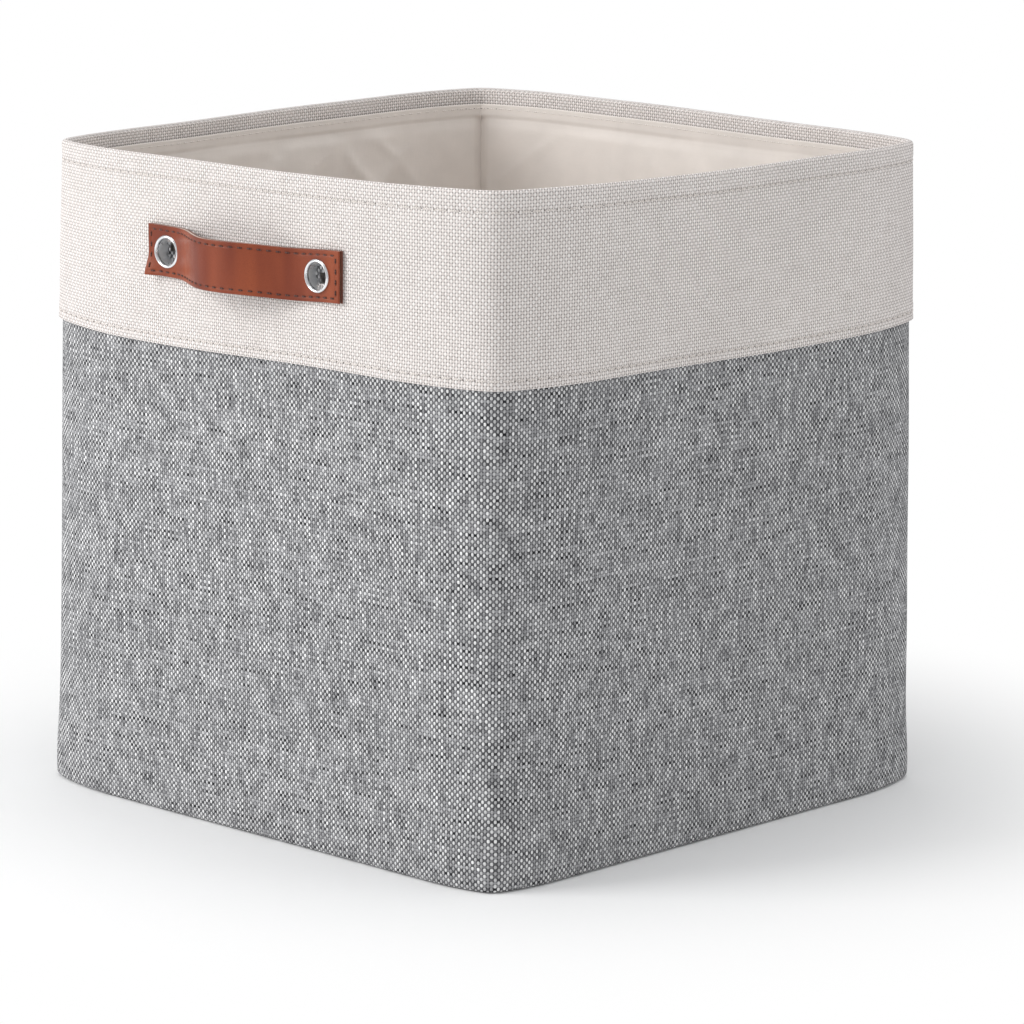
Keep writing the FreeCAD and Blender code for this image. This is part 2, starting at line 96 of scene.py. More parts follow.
# %% Camera
CAMERA_PLACE = Vector((1.6388, -1.7021, 0.6104))
CAMERA_AIM = Vector((0.0098, 0.0093, 0.1383))
CAMERA_LENS = 165.9
CAMERA_ROLL = math.radians(0.471)

camera = bpy.data.objects.new("camera", bpy.data.cameras.new("camera"))
bpy.context.scene.collection.objects.link(camera)
camera.data.lens = CAMERA_LENS
camera.data.sensor_width = 36
camera.location = CAMERA_PLACE
aim = (CAMERA_AIM - CAMERA_PLACE).to_track_quat("-Z", "Y").to_matrix()
camera.rotation_euler = (aim @ Matrix.Rotation(CAMERA_ROLL, 3, "Z")).to_euler()
bpy.context.scene.camera = camera
print("camera stands", round((CAMERA_PLACE - CAMERA_AIM).length, 2), "m from the bin")

# %% [markdown]
# ## Studio
# One large soft lamp on the left lights the front wall, a much weaker one on the right opens the
# side wall, and one above fills the inside. The room itself glows a light grey, which gives the
# metal something to reflect, while the camera sees plain white behind the bin.

# %% Lamps and room
def area_lamp(name, place, target, size, power):
    """A square soft lamp that faces a point."""
    lamp = bpy.data.lights.new(name, "AREA")
    lamp.shape = "SQUARE"
    lamp.size = size
    lamp.energy = power
    holder = bpy.data.objects.new(name, lamp)
    bpy.context.scene.collection.objects.link(holder)
    holder.location = place
    holder.rotation_euler = (Vector(target) - Vector(place)).to_track_quat("-Z", "Y").to_euler()
    return holder


area_lamp("key_lamp", (-0.85, -1.45, 0.95), (0, 0, 0.17), 0.9, 18.3)
area_lamp("side_lamp", (1.7, 0.75, 0.7), (0, 0, 0.17), 0.8, 2.5)
area_lamp("top_lamp", (0.1, 0.1, 1.9), (0, 0, 0.2), 1.2, 8)

world = bpy.data.worlds.new("studio")
bpy.context.scene.world = world
world.use_nodes = True
room = world.node_tree
room.nodes.clear()
seen = room.nodes.new("ShaderNodeBackground")
seen.inputs["Color"].default_value = (1, 1, 1, 1)
around = room.nodes.new("ShaderNodeBackground")
around.inputs["Color"].default_value = (0.98, 0.99, 1, 1)
around.inputs["Strength"].default_value = 0.62
rays = room.nodes.new("ShaderNodeLightPath")
mixed = room.nodes.new("ShaderNodeMixShader")
room_out = room.nodes.new("ShaderNodeOutputWorld")
room.links.new(rays.outputs["Is Camera Ray"], mixed.inputs[0])
room.links.new(around.outputs[0], mixed.inputs[1])
room.links.new(seen.outputs[0], mixed.inputs[2])
room.links.new(mixed.outputs[0], room_out.inputs[0])
bpy.context.scene.view_settings.view_transform = "Standard"
print("studio has", len(bpy.data.lights), "lamps")

# %% [markdown]
# ## Small tools for shader nodes
# Shader trees get long when every node is made by hand. This helper adds a node, fills its
# sockets and links it in one call, so that each finish below reads as a recipe.

# %% Node helper
class Recipe:
    """Adds nodes to one tree. A value given as a socket is linked, any other value is set."""

    def __init__(self, tree):
        self.tree = tree

    def feed(self, socket, value):
        if isinstance(value, bpy.types.NodeSocket):
            self.tree.links.new(value, socket)
        elif isinstance(value, tuple) and len(value) == 3 and socket.type == "RGBA":
            socket.default_value = (*value, 1)
        else:
            socket.default_value = value

    def node(self, kind, inputs=None, **settings):
        made = self.tree.nodes.new(kind)
        for key, value in settings.items():
            setattr(made, key, value)
        for key, value in (inputs or {}).items():
            self.feed(made.inputs[key], value)
        return made

    def math(self, operation, *values, clamp=False):
        made = self.node("ShaderNodeMath", operation=operation, use_clamp=clamp)
        for index, value in enumerate(values):
            self.feed(made.inputs[index], value)
        return made.outputs[0]

    def blend(self, factor, first, second, mode="MIX"):
        made = self.node("ShaderNodeMix", data_type="RGBA", blend_type=mode)
        self.feed(made.inputs[0], factor)
        self.feed(made.inputs[6], first)
        self.feed(made.inputs[7], second)
        return made.outputs[2]

    def remap(self, value, low, high, to_low=0.0, to_high=1.0):
        made = self.node("ShaderNodeMapRange", {"Value": value, "From Min": low, "From Max": high,
                                                "To Min": to_low, "To Max": to_high})
        return made.outputs[0]

    def noise(self, vector, scale, detail=2.0, roughness=0.5, stretch=None):
        if stretch:
            vector = self.node("ShaderNodeMapping", {"Vector": vector, "Scale": stretch}).outputs[0]
        return self.node("ShaderNodeTexNoise", {"Vector": vector, "Scale": scale, "Detail": detail,
                                                "Roughness": roughness}).outputs[0]

    def group(self, tree, inputs):
        made = self.tree.nodes.new("ShaderNodeGroup")
        made.node_tree = tree
        for key, value in inputs.items():
            self.feed(made.inputs[key], value)
        return made.outputs


def new_group(name, inputs, outputs):
    """An empty node group with named sockets; inputs are (name, type, default)."""
    tree = bpy.data.node_groups.new(name, "ShaderNodeTree")
    for label, kind, default in inputs:
        socket = tree.interface.new_socket(name=label, in_out="INPUT", socket_type=kind)
        if default is not None:
            socket.default_value = default
    for label, kind in outputs:
        tree.interface.new_socket(name=label, in_out="OUTPUT", socket_type=kind)
    recipe = Recipe(tree)
    return tree, recipe, recipe.node("NodeGroupInput").outputs, recipe.node("NodeGroupOutput").inputs


FLOAT = "NodeSocketFloat"
VECTOR = "NodeSocketVector"
COLOR = "NodeSocketColor"

# %% [markdown]
# ## Weave
# Both canvases are plain weaves of thick yarn: every warp yarn goes over one weft yarn and under
# the next. The pattern could be modelled yarn by yarn, but a bin this size has hundreds of
# thousands of crossings, so the crossings are worked out by the shader from the cloth's own
# coordinates. Each yarn is a rounded ridge that arches up where it is on top. The group gives the
# height for a bump, which yarn is on top, how deep each point lies in the gaps between yarns for a
# painted shade there, and a tone that drifts along each yarn the way spun yarn does.

# %% Plain weave group
def make_weave_group():
    tree, r, given, out = new_group(
        "plain_weave",
        [("Cloth", VECTOR, None), ("Warp Pitch", FLOAT, 1.5 * MM), ("Weft Pitch", FLOAT, 1.54 * MM),
         ("Yarn Width", FLOAT, 0.94), ("Wander", FLOAT, 0.35 * MM), ("Streak", FLOAT, 120.0)],
        [("Height", FLOAT), ("Warp On Top", FLOAT), ("Gap Shade", FLOAT), ("Warp Tone", FLOAT),
         ("Weft Tone", FLOAT)])
    drift = r.node("ShaderNodeTexNoise", {"Vector": given["Cloth"], "Scale": 90.0, "Detail": 2.0})
    moved = r.node("ShaderNodeSeparateColor", {"Color": drift.outputs["Color"]})
    place = r.node("ShaderNodeSeparateXYZ", {"Vector": given["Cloth"]})

    def yarn_count(length, pitch, push):
        shift = r.math("MULTIPLY", r.math("SUBTRACT", push, 0.5), given["Wander"])
        return r.math("DIVIDE", r.math("ADD", length, shift), pitch)

    across = yarn_count(place.outputs["X"], given["Warp Pitch"], moved.outputs["Red"])
    along = yarn_count(place.outputs["Y"], given["Weft Pitch"], moved.outputs["Green"])
    warp_id = r.math("FLOOR", across)
    weft_id = r.math("FLOOR", along)
    in_warp = r.math("SUBTRACT", r.math("FRACT", across), 0.5)
    in_weft = r.math("SUBTRACT", r.math("FRACT", along), 0.5)
    parity = r.math("FLOORED_MODULO", r.math("ADD", warp_id, weft_id), 2.0)
    over = r.math("SUBTRACT", 1.0, r.math("MULTIPLY", parity, 2.0))

    def tone(first, second, third):
        vector = r.node("ShaderNodeCombineXYZ", {"X": first, "Y": second, "Z": third}).outputs[0]
        return r.noise(vector, 1.0, 3.0, 0.6)

    streak_up = r.math("MULTIPLY", place.outputs["Y"], given["Streak"])
    streak_across = r.math("MULTIPLY", place.outputs["X"], given["Streak"])
    warp_tone = tone(r.math("MULTIPLY", warp_id, 7.31), streak_up, 0.0)
    weft_tone = tone(streak_across, r.math("MULTIPLY", weft_id, 5.17), 9.0)

    def ridge(offset, wave, sign, yarn_tone):
        thickness = r.math("ADD", 0.8, r.math("MULTIPLY", yarn_tone, 0.4))
        swell = r.math("MULTIPLY", given["Yarn Width"], thickness)
        side = r.math("DIVIDE", r.math("MULTIPLY", offset, 2.0), swell)
        left_over = r.math("SUBTRACT", 1.0, r.math("POWER", side, 2.0))
        round_top = r.math("SQRT", r.math("MAXIMUM", left_over, 0.0))
        arch = r.math("MULTIPLY", r.math("COSINE", r.math("MULTIPLY", wave, math.pi)), sign)
        return r.math("MULTIPLY", round_top, r.math("ADD", 0.56, r.math("MULTIPLY", arch, 0.44)))

    under = r.math("MULTIPLY", over, -1.0)
    warp_height = ridge(in_warp, in_weft, over, warp_tone)
    weft_height = ridge(in_weft, in_warp, under, weft_tone)
    height = r.math("MAXIMUM", warp_height, weft_height)
    lead = r.math("SUBTRACT", warp_height, weft_height)
    r.feed(out["Height"], height)
    r.feed(out["Warp On Top"], r.remap(lead, -0.06, 0.06))
    # This output is 1 where the yarns are lowest; the canvases use it to paint shade between yarns.
    r.feed(out["Gap Shade"], r.remap(height, 0.62, 0.28))
    r.feed(out["Warp Tone"], warp_tone)
    r.feed(out["Weft Tone"], weft_tone)
    return tree


WEAVE = make_weave_group()
print("weave group has", len(WEAVE.nodes), "nodes")

# %% [markdown]
# ## Uneven dye and painted fold shade
# New cloth is not one even colour: dye takes unevenly over a few centimetres. One small group
# gives that slow change, and the canvases, the lining and the boards all use it. On the lining
# it is set strong, and there its soft patches are partly painted shade of the folds.

# %% Mottle group
def make_mottle_group():
    tree, r, given, out = new_group(
        "mottle",
        [("Color", COLOR, None), ("Place", VECTOR, None), ("Scale", FLOAT, 20.0), ("Amount", FLOAT, 0.1)],
        [("Color", COLOR)])
    broad = r.noise(given["Place"], given["Scale"], 4.0, 0.6)
    mask = r.remap(broad, 0.3, 0.7)
    low = r.math("SUBTRACT", 1.0, given["Amount"])
    level = r.math("ADD", low, r.math("MULTIPLY", mask, given["Amount"]))
    shade = r.node("ShaderNodeCombineColor", {"Red": level, "Green": level, "Blue": level}).outputs[0]
    r.feed(out["Color"], r.blend(1.0, given["Color"], shade, "MULTIPLY"))
    return tree


MOTTLE = make_mottle_group()

# %% [markdown]
# ## Canvas finishes
# The grey canvas has pale warp yarns and dark weft yarns, so it reads as a fine chequer of white
# and slate that blurs to grey from afar. The cream canvas has nearly the same yarn both ways and
# shows its weave by painted shade between yarns. One function makes both from four yarn colours,
# and both get painted shade in the gaps between yarns.

# %% Canvas materials
def new_material(name, fixed=None):
    """A material with one shader. fixed holds the shader's inputs that stay one number."""
    material = bpy.data.materials.new(name)
    material.use_nodes = True
    tree = material.node_tree
    tree.nodes.clear()
    recipe = Recipe(tree)
    shader = recipe.node("ShaderNodeBsdfPrincipled", fixed)
    recipe.node("ShaderNodeOutputMaterial", {"Surface": shader.outputs[0]})
    return material, recipe, shader


def cloth_place(recipe):
    return recipe.node("ShaderNodeUVMap", uv_map="cloth").outputs[0]


def canvas(name, warp, weft, gap, relief, streak, contrast):
    """warp and weft are (dark, light) yarn colours, gap is (strength, colour) of the painted shade in
    the holes between yarns, and relief is the weave's height in metres."""
    material, r, shader = new_material(
        name, {"Sheen Weight": 0.08, "Sheen Roughness": 0.6, "Specular IOR Level": 0.2})
    place = cloth_place(r)
    weave = r.group(WEAVE, {"Cloth": place, "Streak": streak})
    warp_mix = r.remap(weave["Warp Tone"], 0.5 - contrast, 0.5 + contrast)
    weft_mix = r.remap(weave["Weft Tone"], 0.5 - contrast, 0.5 + contrast)
    warp_color = r.blend(warp_mix, *warp)
    weft_color = r.blend(weft_mix, *weft)
    yarns = r.blend(weave["Warp On Top"], weft_color, warp_color)
    # Painted shade: the yarn colour is darkened towards the gap colour where the weave is low between
    # yarns.
    shaded = r.blend(r.math("MULTIPLY", weave["Gap Shade"], gap[0]), yarns, gap[1])
    even = r.group(MOTTLE, {"Color": shaded, "Place": place, "Scale": 14.0, "Amount": 0.07})
    fibre = r.noise(place, 3500.0, 2.0)
    height = r.math("ADD", weave["Height"], r.math("MULTIPLY", fibre, 0.25))
    bump = r.node("ShaderNodeBump", {"Height": height, "Distance": relief, "Strength": 1.0})
    r.feed(shader.inputs["Base Color"], even["Color"])
    r.feed(shader.inputs["Normal"], bump.outputs[0])
    r.feed(shader.inputs["Roughness"], r.remap(fibre, 0.2, 0.8, 0.82, 0.96))
    return material


GREY_CANVAS = canvas("grey_canvas", ((0.33, 0.33, 0.34), (1.0, 1.0, 1.0)),
                     ((0.012, 0.012, 0.016), (0.36, 0.36, 0.375)), (1.0, (0.006, 0.006, 0.009)),
                     0.5 * MM, 75.0, 0.17)
CREAM_CANVAS = canvas("cream_canvas", ((0.93, 0.87, 0.835), (1.0, 0.96, 0.94)),
                      ((0.70, 0.635, 0.605), (0.86, 0.795, 0.765)), (0.95, (0.17, 0.145, 0.135)),
                      0.45 * MM, 90.0, 0.25)

# %% [markdown]
# ## Lining, thread and board finishes
# The lining is a thin, closely woven cloth: its yarns are too fine to see, so it only needs a
# faint grain and soft patches, which are partly uneven dye and partly painted shade of its folds.
# Thread is twisted, which shows as slanting lines along each stitch: a bump, and painted shade in
# the grooves between the twists. The boards are pressed paper with flecks in it.

# %% Plain cloth, thread and board materials
def lining_cloth(name, color):
    material, r, shader = new_material(name, {"Sheen Weight": 0.1, "Specular IOR Level": 0.3})
    place = cloth_place(r)
    # Strong mottle: partly uneven dye, partly painted shade standing in for the soft shade of the lining's
    # folds.
    even = r.group(MOTTLE, {"Color": color, "Place": place, "Scale": 28.0, "Amount": 0.11})
    threads = r.noise(place, 900.0, 3.0, 0.6, stretch=(1.0, 0.25, 1.0))
    cross_threads = r.noise(place, 900.0, 3.0, 0.6, stretch=(0.25, 1.0, 1.0))
    grain = r.math("ADD", threads, cross_threads)
    bump = r.node("ShaderNodeBump", {"Height": grain, "Distance": 0.08 * MM, "Strength": 0.6})
    r.feed(shader.inputs["Base Color"], even["Color"])
    r.feed(shader.inputs["Normal"], bump.outputs[0])
    r.feed(shader.inputs["Roughness"], r.remap(grain, 0.7, 1.3, 0.7, 0.85))
    return material


def thread(name, color, dark, roughness):
    material, r, shader = new_material(name)
    place = cloth_place(r)
    axes = r.node("ShaderNodeSeparateXYZ", {"Vector": place})
    slant = r.math("ADD", r.math("MULTIPLY", axes.outputs["X"], 5200.0),
                   r.math("MULTIPLY", axes.outputs["Y"], 12.0))
    ply = r.math("ADD", r.math("MULTIPLY", r.math("SINE", slant), 0.5), 0.5)
    # Painted shade: the thread is darker in the grooves between its twists, where the ply is low.
    r.feed(shader.inputs["Base Color"], r.blend(ply, dark, color))
    bump = r.node("ShaderNodeBump", {"Height": ply, "Distance": 0.08 * MM, "Strength": 1.0})
    r.feed(shader.inputs["Normal"], bump.outputs[0])
    r.feed(shader.inputs["Roughness"], r.remap(ply, 0.0, 1.0, roughness + 0.1, roughness))
    return material


def pressed_board(name, color, fleck):
    material, r, shader = new_material(name)
    place = r.node("ShaderNodeTexCoord").outputs["Object"]
    flecks = r.remap(r.noise(place, 700.0, 3.0, 0.7), 0.62, 0.7)
    speckled = r.blend(flecks, color, fleck)
    even = r.group(MOTTLE, {"Color": speckled, "Place": place, "Scale": 30.0, "Amount": 0.15})
    fibres = r.noise(place, 1400.0, 4.0, 0.7)
    bump = r.node("ShaderNodeBump", {"Height": fibres, "Distance": 0.05 * MM, "Strength": 0.7})
    r.feed(shader.inputs["Base Color"], even["Color"])
    r.feed(shader.inputs["Normal"], bump.outputs[0])
    r.feed(shader.inputs["Roughness"], r.remap(fibres, 0.3, 0.7, 0.8, 0.95))
    return material


LINING_CLOTH = lining_cloth("lining_cloth", (0.81, 0.75, 0.70))
CREAM_THREAD = thread("cream_thread", (0.88, 0.83, 0.79), (0.62, 0.56, 0.52), 0.6)
BROWN_THREAD = thread("brown_thread", (0.12, 0.035, 0.022), (0.03, 0.008, 0.005), 0.45)
GREYBOARD = pressed_board("greyboard", (0.36, 0.34, 0.31), (0.16, 0.15, 0.14))
STRAP_CORE = pressed_board("strap_core", (0.74, 0.66, 0.58), (0.58, 0.48, 0.4))

# %% [markdown]
# ## Leather
# The straps are smooth finished leather: a fine grain of small cells under a satin coat. The coat
# is even, so the grain is shallow, and slow colour changes and a few tiny pores keep it from
# looking moulded. The slow colour changes run in broad bands up the strap: partly the leather's
# own tone, partly painted sheen and shade. The colour is also darker along the grain's creases.

# %% Leather material
def leather(name, color, deep):
    material, r, shader = new_material(
        name, {"Specular IOR Level": 0.18, "Coat Weight": 0.04, "Coat Roughness": 0.25})
    place = cloth_place(r)
    cells = r.node("ShaderNodeTexVoronoi", {"Vector": place, "Scale": 1300.0, "Randomness": 1.0},
                   feature="DISTANCE_TO_EDGE")
    creases = r.remap(cells.outputs["Distance"], 0.0, 0.12)
    wrinkle = r.noise(place, 260.0, 4.0, 0.6, stretch=(1.0, 0.5, 1.0))
    # Broad bands up the strap: partly the leather's own tone, partly painted sheen and shade.
    tone_and_sheen_bands = r.noise(place, 42.0, 2.0, 0.5, stretch=(1.0, 0.25, 1.0))
    tone = r.blend(r.remap(tone_and_sheen_bands, 0.35, 0.65), deep, color)
    # Darker along the grain's creases.
    darker_in_creases = r.blend(r.math("MULTIPLY", r.math("SUBTRACT", 1.0, creases), 0.35), tone, deep)
    height = r.math("ADD", r.math("MULTIPLY", creases, 0.5), r.math("MULTIPLY", wrinkle, 0.9))
    bump = r.node("ShaderNodeBump", {"Height": height, "Distance": 0.07 * MM, "Strength": 0.55})
    r.feed(shader.inputs["Base Color"], darker_in_creases)
    r.feed(shader.inputs["Normal"], bump.outputs[0])
    r.feed(shader.inputs["Roughness"], r.remap(wrinkle, 0.3, 0.7, 0.3, 0.42))
    return material


BROWN_LEATHER = leather("brown_leather", (0.31, 0.074, 0.030), (0.165, 0.034, 0.018))
LEATHER_BACK = leather("leather_back", (0.20, 0.075, 0.05), (0.14, 0.045, 0.03))

# %% [markdown]
# ## Chrome
# The eyelets are pressed from thin sheet and plated. Plating is bright but never perfect: the
# press leaves faint smears and handling leaves hair scratches, so the roughness changes slightly.
# The inside of an eyelet's barrel is not polished: it is duller and scatters more light. The same
# cell makes the painted shade of needle holes: flat dark spots, since a hole this small shows only shade.

# %% Chrome material
def chrome(name, smooth, dull, metal=1.0):
    material, r, shader = new_material(name, {"Metallic": metal})
    place = r.node("ShaderNodeTexCoord").outputs["Object"]
    smear = r.noise(place, 260.0, 3.0, 0.6)
    scratch = r.noise(place, 2500.0, 2.0, 0.5, stretch=(1.0, 1.0, 0.06))
    bump = r.node("ShaderNodeBump", {"Height": scratch, "Distance": 0.01 * MM, "Strength": 0.3})
    r.feed(shader.inputs["Base Color"], r.blend(smear, (0.74, 0.75, 0.76), (0.86, 0.86, 0.87)))
    r.feed(shader.inputs["Roughness"], r.remap(smear, 0.3, 0.7, smooth, dull))
    r.feed(shader.inputs["Normal"], bump.outputs[0])
    return material


CHROME = chrome("chrome", 0.06, 0.16)
BARREL_CHROME = chrome("barrel_chrome", 0.26, 0.36, 0.6)


# Painted shade for needle holes: a dark colour, darker still in random spots.
def plain_dark(name, color):
    material, r, shader = new_material(name)
    place = r.node("ShaderNodeTexCoord").outputs["Object"]
    r.feed(shader.inputs["Base Color"], r.blend(r.noise(place, 900.0), color, (0.0, 0.0, 0.0)))
    r.feed(shader.inputs["Roughness"], r.remap(r.noise(place, 500.0), 0.0, 1.0, 0.8, 1.0))
    return material


NEEDLE_HOLE_SHADE = plain_dark("needle_hole_shade", (0.03, 0.012, 0.01))
CANVAS_HOLE_SHADE = plain_dark("canvas_hole_shade", (0.42, 0.37, 0.34))
print("materials:", ", ".join(sorted(m.name for m in bpy.data.materials)))

# %% [markdown]
# ## Floor
# The bin stands on a plain pale sheet that runs out of sight. Like a studio sweep that is lit by
# itself, it turns to clean white a little way from the bin.

# %% Floor
def make_floor():
    bm = bmesh.new()
    bmesh.ops.create_grid(bm, x_segments=24, y_segments=24, size=6.0)
    mesh = bpy.data.meshes.new("floor")
    bm.to_mesh(mesh)
    bm.free()
    floor = bpy.data.objects.new("floor", mesh)
    bpy.context.scene.collection.objects.link(floor)
    floor.location.z = -0.3 * MM
    material, r, shader = new_material("floor_paper")
    place = r.node("ShaderNodeTexCoord").outputs["Object"]
    grain = r.noise(place, 400.0, 3.0)
    r.feed(shader.inputs["Base Color"], r.blend(grain, (0.93, 0.93, 0.93), (0.96, 0.96, 0.96)))
    r.feed(shader.inputs["Roughness"], r.remap(grain, 0.0, 1.0, 0.85, 0.95))
    distance = r.node("ShaderNodeVectorMath", {0: place}, operation="LENGTH").outputs["Value"]
    sweep = r.node("ShaderNodeMapRange", {"Value": distance, "From Min": 0.2, "From Max": 0.42},
                   interpolation_type="SMOOTHSTEP").outputs[0]
    camera_only = r.math("MULTIPLY", sweep, r.node("ShaderNodeLightPath").outputs["Is Camera Ray"])
    lit = r.node("ShaderNodeEmission", {"Color": (1.0, 1.0, 1.0), "Strength": 1.0})
    both = r.node("ShaderNodeMixShader", {0: camera_only, 1: shader.outputs[0], 2: lit.outputs[0]})
    output = next(node for node in material.node_tree.nodes if node.type == "OUTPUT_MATERIAL")
    r.feed(output.inputs["Surface"], both.outputs[0])
    mesh.materials.append(material)
    floor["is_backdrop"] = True


make_floor()

# %% [markdown]
# ## Turning rows of points into cloth
# Every sewn piece here starts as a grid of points: columns run round the bin or along the strap,
# rows run up it. The same grid gives the cloth coordinates, in metres along the cloth, which keep
# the yarns the right size wherever the piece bends. A grid may close on itself both ways, and a
# mask leaves out faces where a hole is punched.

# %% Grid to mesh
def link_mesh(name, mesh, materials):
    piece = bpy.data.objects.new(name, mesh)
    bpy.context.scene.collection.objects.link(piece)
    for material in materials:
        mesh.materials.append(material)
    mesh.shade_smooth()
    return piece


def set_cloth_map(mesh, places):
    """Store each face corner's place on the cloth, in metres."""
    layer = mesh.uv_layers.new(name="cloth")
    layer.data.foreach_set("uv", places.reshape(-1).astype(np.float32))


def drop_loose_points(mesh):
    """Remove the points that no face uses, such as those inside a punched hole."""
    bm = bmesh.new()
    bm.from_mesh(mesh)
    bmesh.ops.delete(bm, geom=[v for v in bm.verts if not v.link_faces], context="VERTS")
    bm.to_mesh(mesh)
    bm.free()


def grid_mesh(name, points, cloth, around=False, looped=False, keep=None):
    """points is rows x columns x 3, cloth is rows x columns x 2. A closed way repeats its first line."""
    rows, columns = points.shape[:2]
    used = points[: rows - 1 if looped else rows, : columns - 1 if around else columns]
    index = np.arange(used.shape[0] * used.shape[1]).reshape(used.shape[:2])
    if around:
        index = np.hstack([index, index[:, :1]])
    if looped:
        index = np.vstack([index, index[:1]])
    corners = [(slice(0, -1), slice(0, -1)), (slice(0, -1), slice(1, None)),
               (slice(1, None), slice(1, None)), (slice(1, None), slice(0, -1))]
    faces = np.stack([index[corner] for corner in corners], axis=-1).reshape(-1, 4)
    maps = np.stack([cloth[corner] for corner in corners], axis=-2).reshape(-1, 4, 2)
    if keep is not None:
        faces = faces[keep.reshape(-1)]
        maps = maps[keep.reshape(-1)]
    mesh = bpy.data.meshes.new(name)
    mesh.from_pydata(used.reshape(-1, 3).tolist(), [], faces.tolist())
    set_cloth_map(mesh, maps)
    if keep is not None:
        drop_loose_points(mesh)
    return mesh


# %% [markdown]
# ## The walls' outline
# Seen from above, every wall layer is a rounded square. Soft walls don't turn in a true arc: the
# cloth bends gently over a long stretch beside the boards and sharply at the fold in the middle
# of the corner, where the bin creases when it is stored flat. The corner curve is made from that
# turning: the direction of the cloth is stated along the curve, and adding up small steps in that
# direction gives its shape. A column of the grid keeps its share of the way round at every height,
# so a corner can widen towards the rim without the columns crossing. The walk starts and ends at
# the rear left corner, where the walls' own seam is.

# %% Outline of the walls
FULL_TURN = 2 * math.pi
FOLD_TURN = 0.56
FOLD_SHARE = 0.085


def corner_curve(steps):
    """Points and outward directions of a corner of size 1, from a wall facing -Y to one facing +X.
    The points are measured from the square corner."""
    share = np.linspace(-1, 1, 2001)
    turned = FOLD_TURN * np.tanh(share / FOLD_SHARE) + (1 - FOLD_TURN) * share
    direction = (turned + 1) * math.pi / 4
    step = np.stack([np.cos(direction), np.sin(direction)], axis=-1)
    path = np.concatenate([[[0, 0]], np.cumsum((step[1:] + step[:-1]) / 2, axis=0)])
    path = path / path[-1, 0] + np.array([-1, 0])
    spread = np.linspace(0, 1, steps + 1)
    centred = 0.5 + (spread - 0.5) * (0.55 + 0.45 * (2 * np.abs(spread - 0.5)) ** 1.5)
    places = centred * 2 - 1
    points = np.stack([np.interp(places, share, path[:, i]) for i in (0, 1)], axis=-1)
    return points, np.interp(places, share, direction) - math.pi / 2


class Outline:
    """One column for each step of a walk round the bin: the square's corner or side that it
    belongs to, its corner's shape at the floor and at the rim, and the cloth's outward direction."""

    def __init__(self, side_steps, corner_steps):
        walk = [("rear_left", (-1, 1)), ("front_left", (-1, -1)), ("front_right", (1, -1)),
                ("rear_right", (1, 1)), ("rear_left", (-1, 1))]
        shape, lean = corner_curve(corner_steps)
        square, low, rim, angle = [], [], [], []
        for number, (name, sign) in enumerate(walk):
            turn = (number - 2) * math.pi / 2
            spin = np.array([[math.cos(turn), math.sin(turn)], [-math.sin(turn), math.cos(turn)]])
            curve = shape @ spin
            first = corner_steps // 2 if number == 0 else 0
            last = corner_steps // 2 if number == 4 else corner_steps
            if square:
                share = np.linspace(0, 1, side_steps + 1)[1:-1, None]
                square.append(square[-1][-1] + (np.array(sign) - square[-1][-1]) * share)
                low.append(low[-1][-1] + (curve[0] * CORNER_LOW[name] - low[-1][-1]) * share)
                rim.append(rim[-1][-1] + (curve[0] * CORNER_RIM[name] - rim[-1][-1]) * share)
                angle.append(np.full(side_steps - 1, angle[-1][-1]))
            square.append(np.repeat(np.array([sign], float), last - first + 1, axis=0))
            low.append(curve[first:last + 1] * CORNER_LOW[name])
            rim.append(curve[first:last + 1] * CORNER_RIM[name])
            angle.append(lean[first:last + 1] + turn)
        self.square = np.concatenate(square)
        self.low = np.concatenate(low)
        self.rim = np.concatenate(rim)
        self.angle = np.concatenate(angle)
        self.normals = np.stack([np.cos(self.angle), np.sin(self.angle)], axis=-1)
        self.length = self.lengths(self.points(np.array([[0.5 * BAND_RIM]]), 0.0))[0]

    def points(self, height, depth, columns=slice(None)):
        """The outline at a height, at a depth in from the grey canvas."""
        share = np.asarray(height)[..., None] / BAND_RIM
        depth = np.asarray(depth)[..., None]
        corner = self.low[columns] + (self.rim - self.low)[columns] * share
        return HALF * self.square[columns] + corner - depth * self.normals[columns]

    def lengths(self, points):
        """Distance along each row of points. All rows agree at the front right corner."""
        steps = np.linalg.norm(np.diff(points, axis=-2), axis=-1)
        walked = np.concatenate([np.zeros(steps.shape[:-1] + (1,)), np.cumsum(steps, axis=-1)], axis=-1)
        middle = np.argmin(np.abs(self.angle + math.pi / 4))
        if hasattr(self, "length"):
            walked = walked + self.length[middle] - walked[..., middle:middle + 1]
        return walked

    def at(self, lengths):
        """The same outline with columns at the given lengths instead."""
        other = object.__new__(Outline)
        for key in ("square", "low", "rim"):
            values = getattr(self, key)
            moved = [np.interp(lengths, self.length, values[:, i]) for i in (0, 1)]
            setattr(other, key, np.stack(moved, axis=-1))
        other.angle = np.interp(lengths, self.length, self.angle)
        other.normals = np.stack([np.cos(other.angle), np.sin(other.angle)], axis=-1)
        other.length = lengths
        return other


def wave(angles, terms):
    """A slow up and down round the bin: terms are (bends per turn, height in mm, phase in degrees)."""
    total = np.zeros_like(angles)
    for bends, height, phase in terms:
        total += height * MM * np.cos(bends * angles - math.radians(phase))
    return total


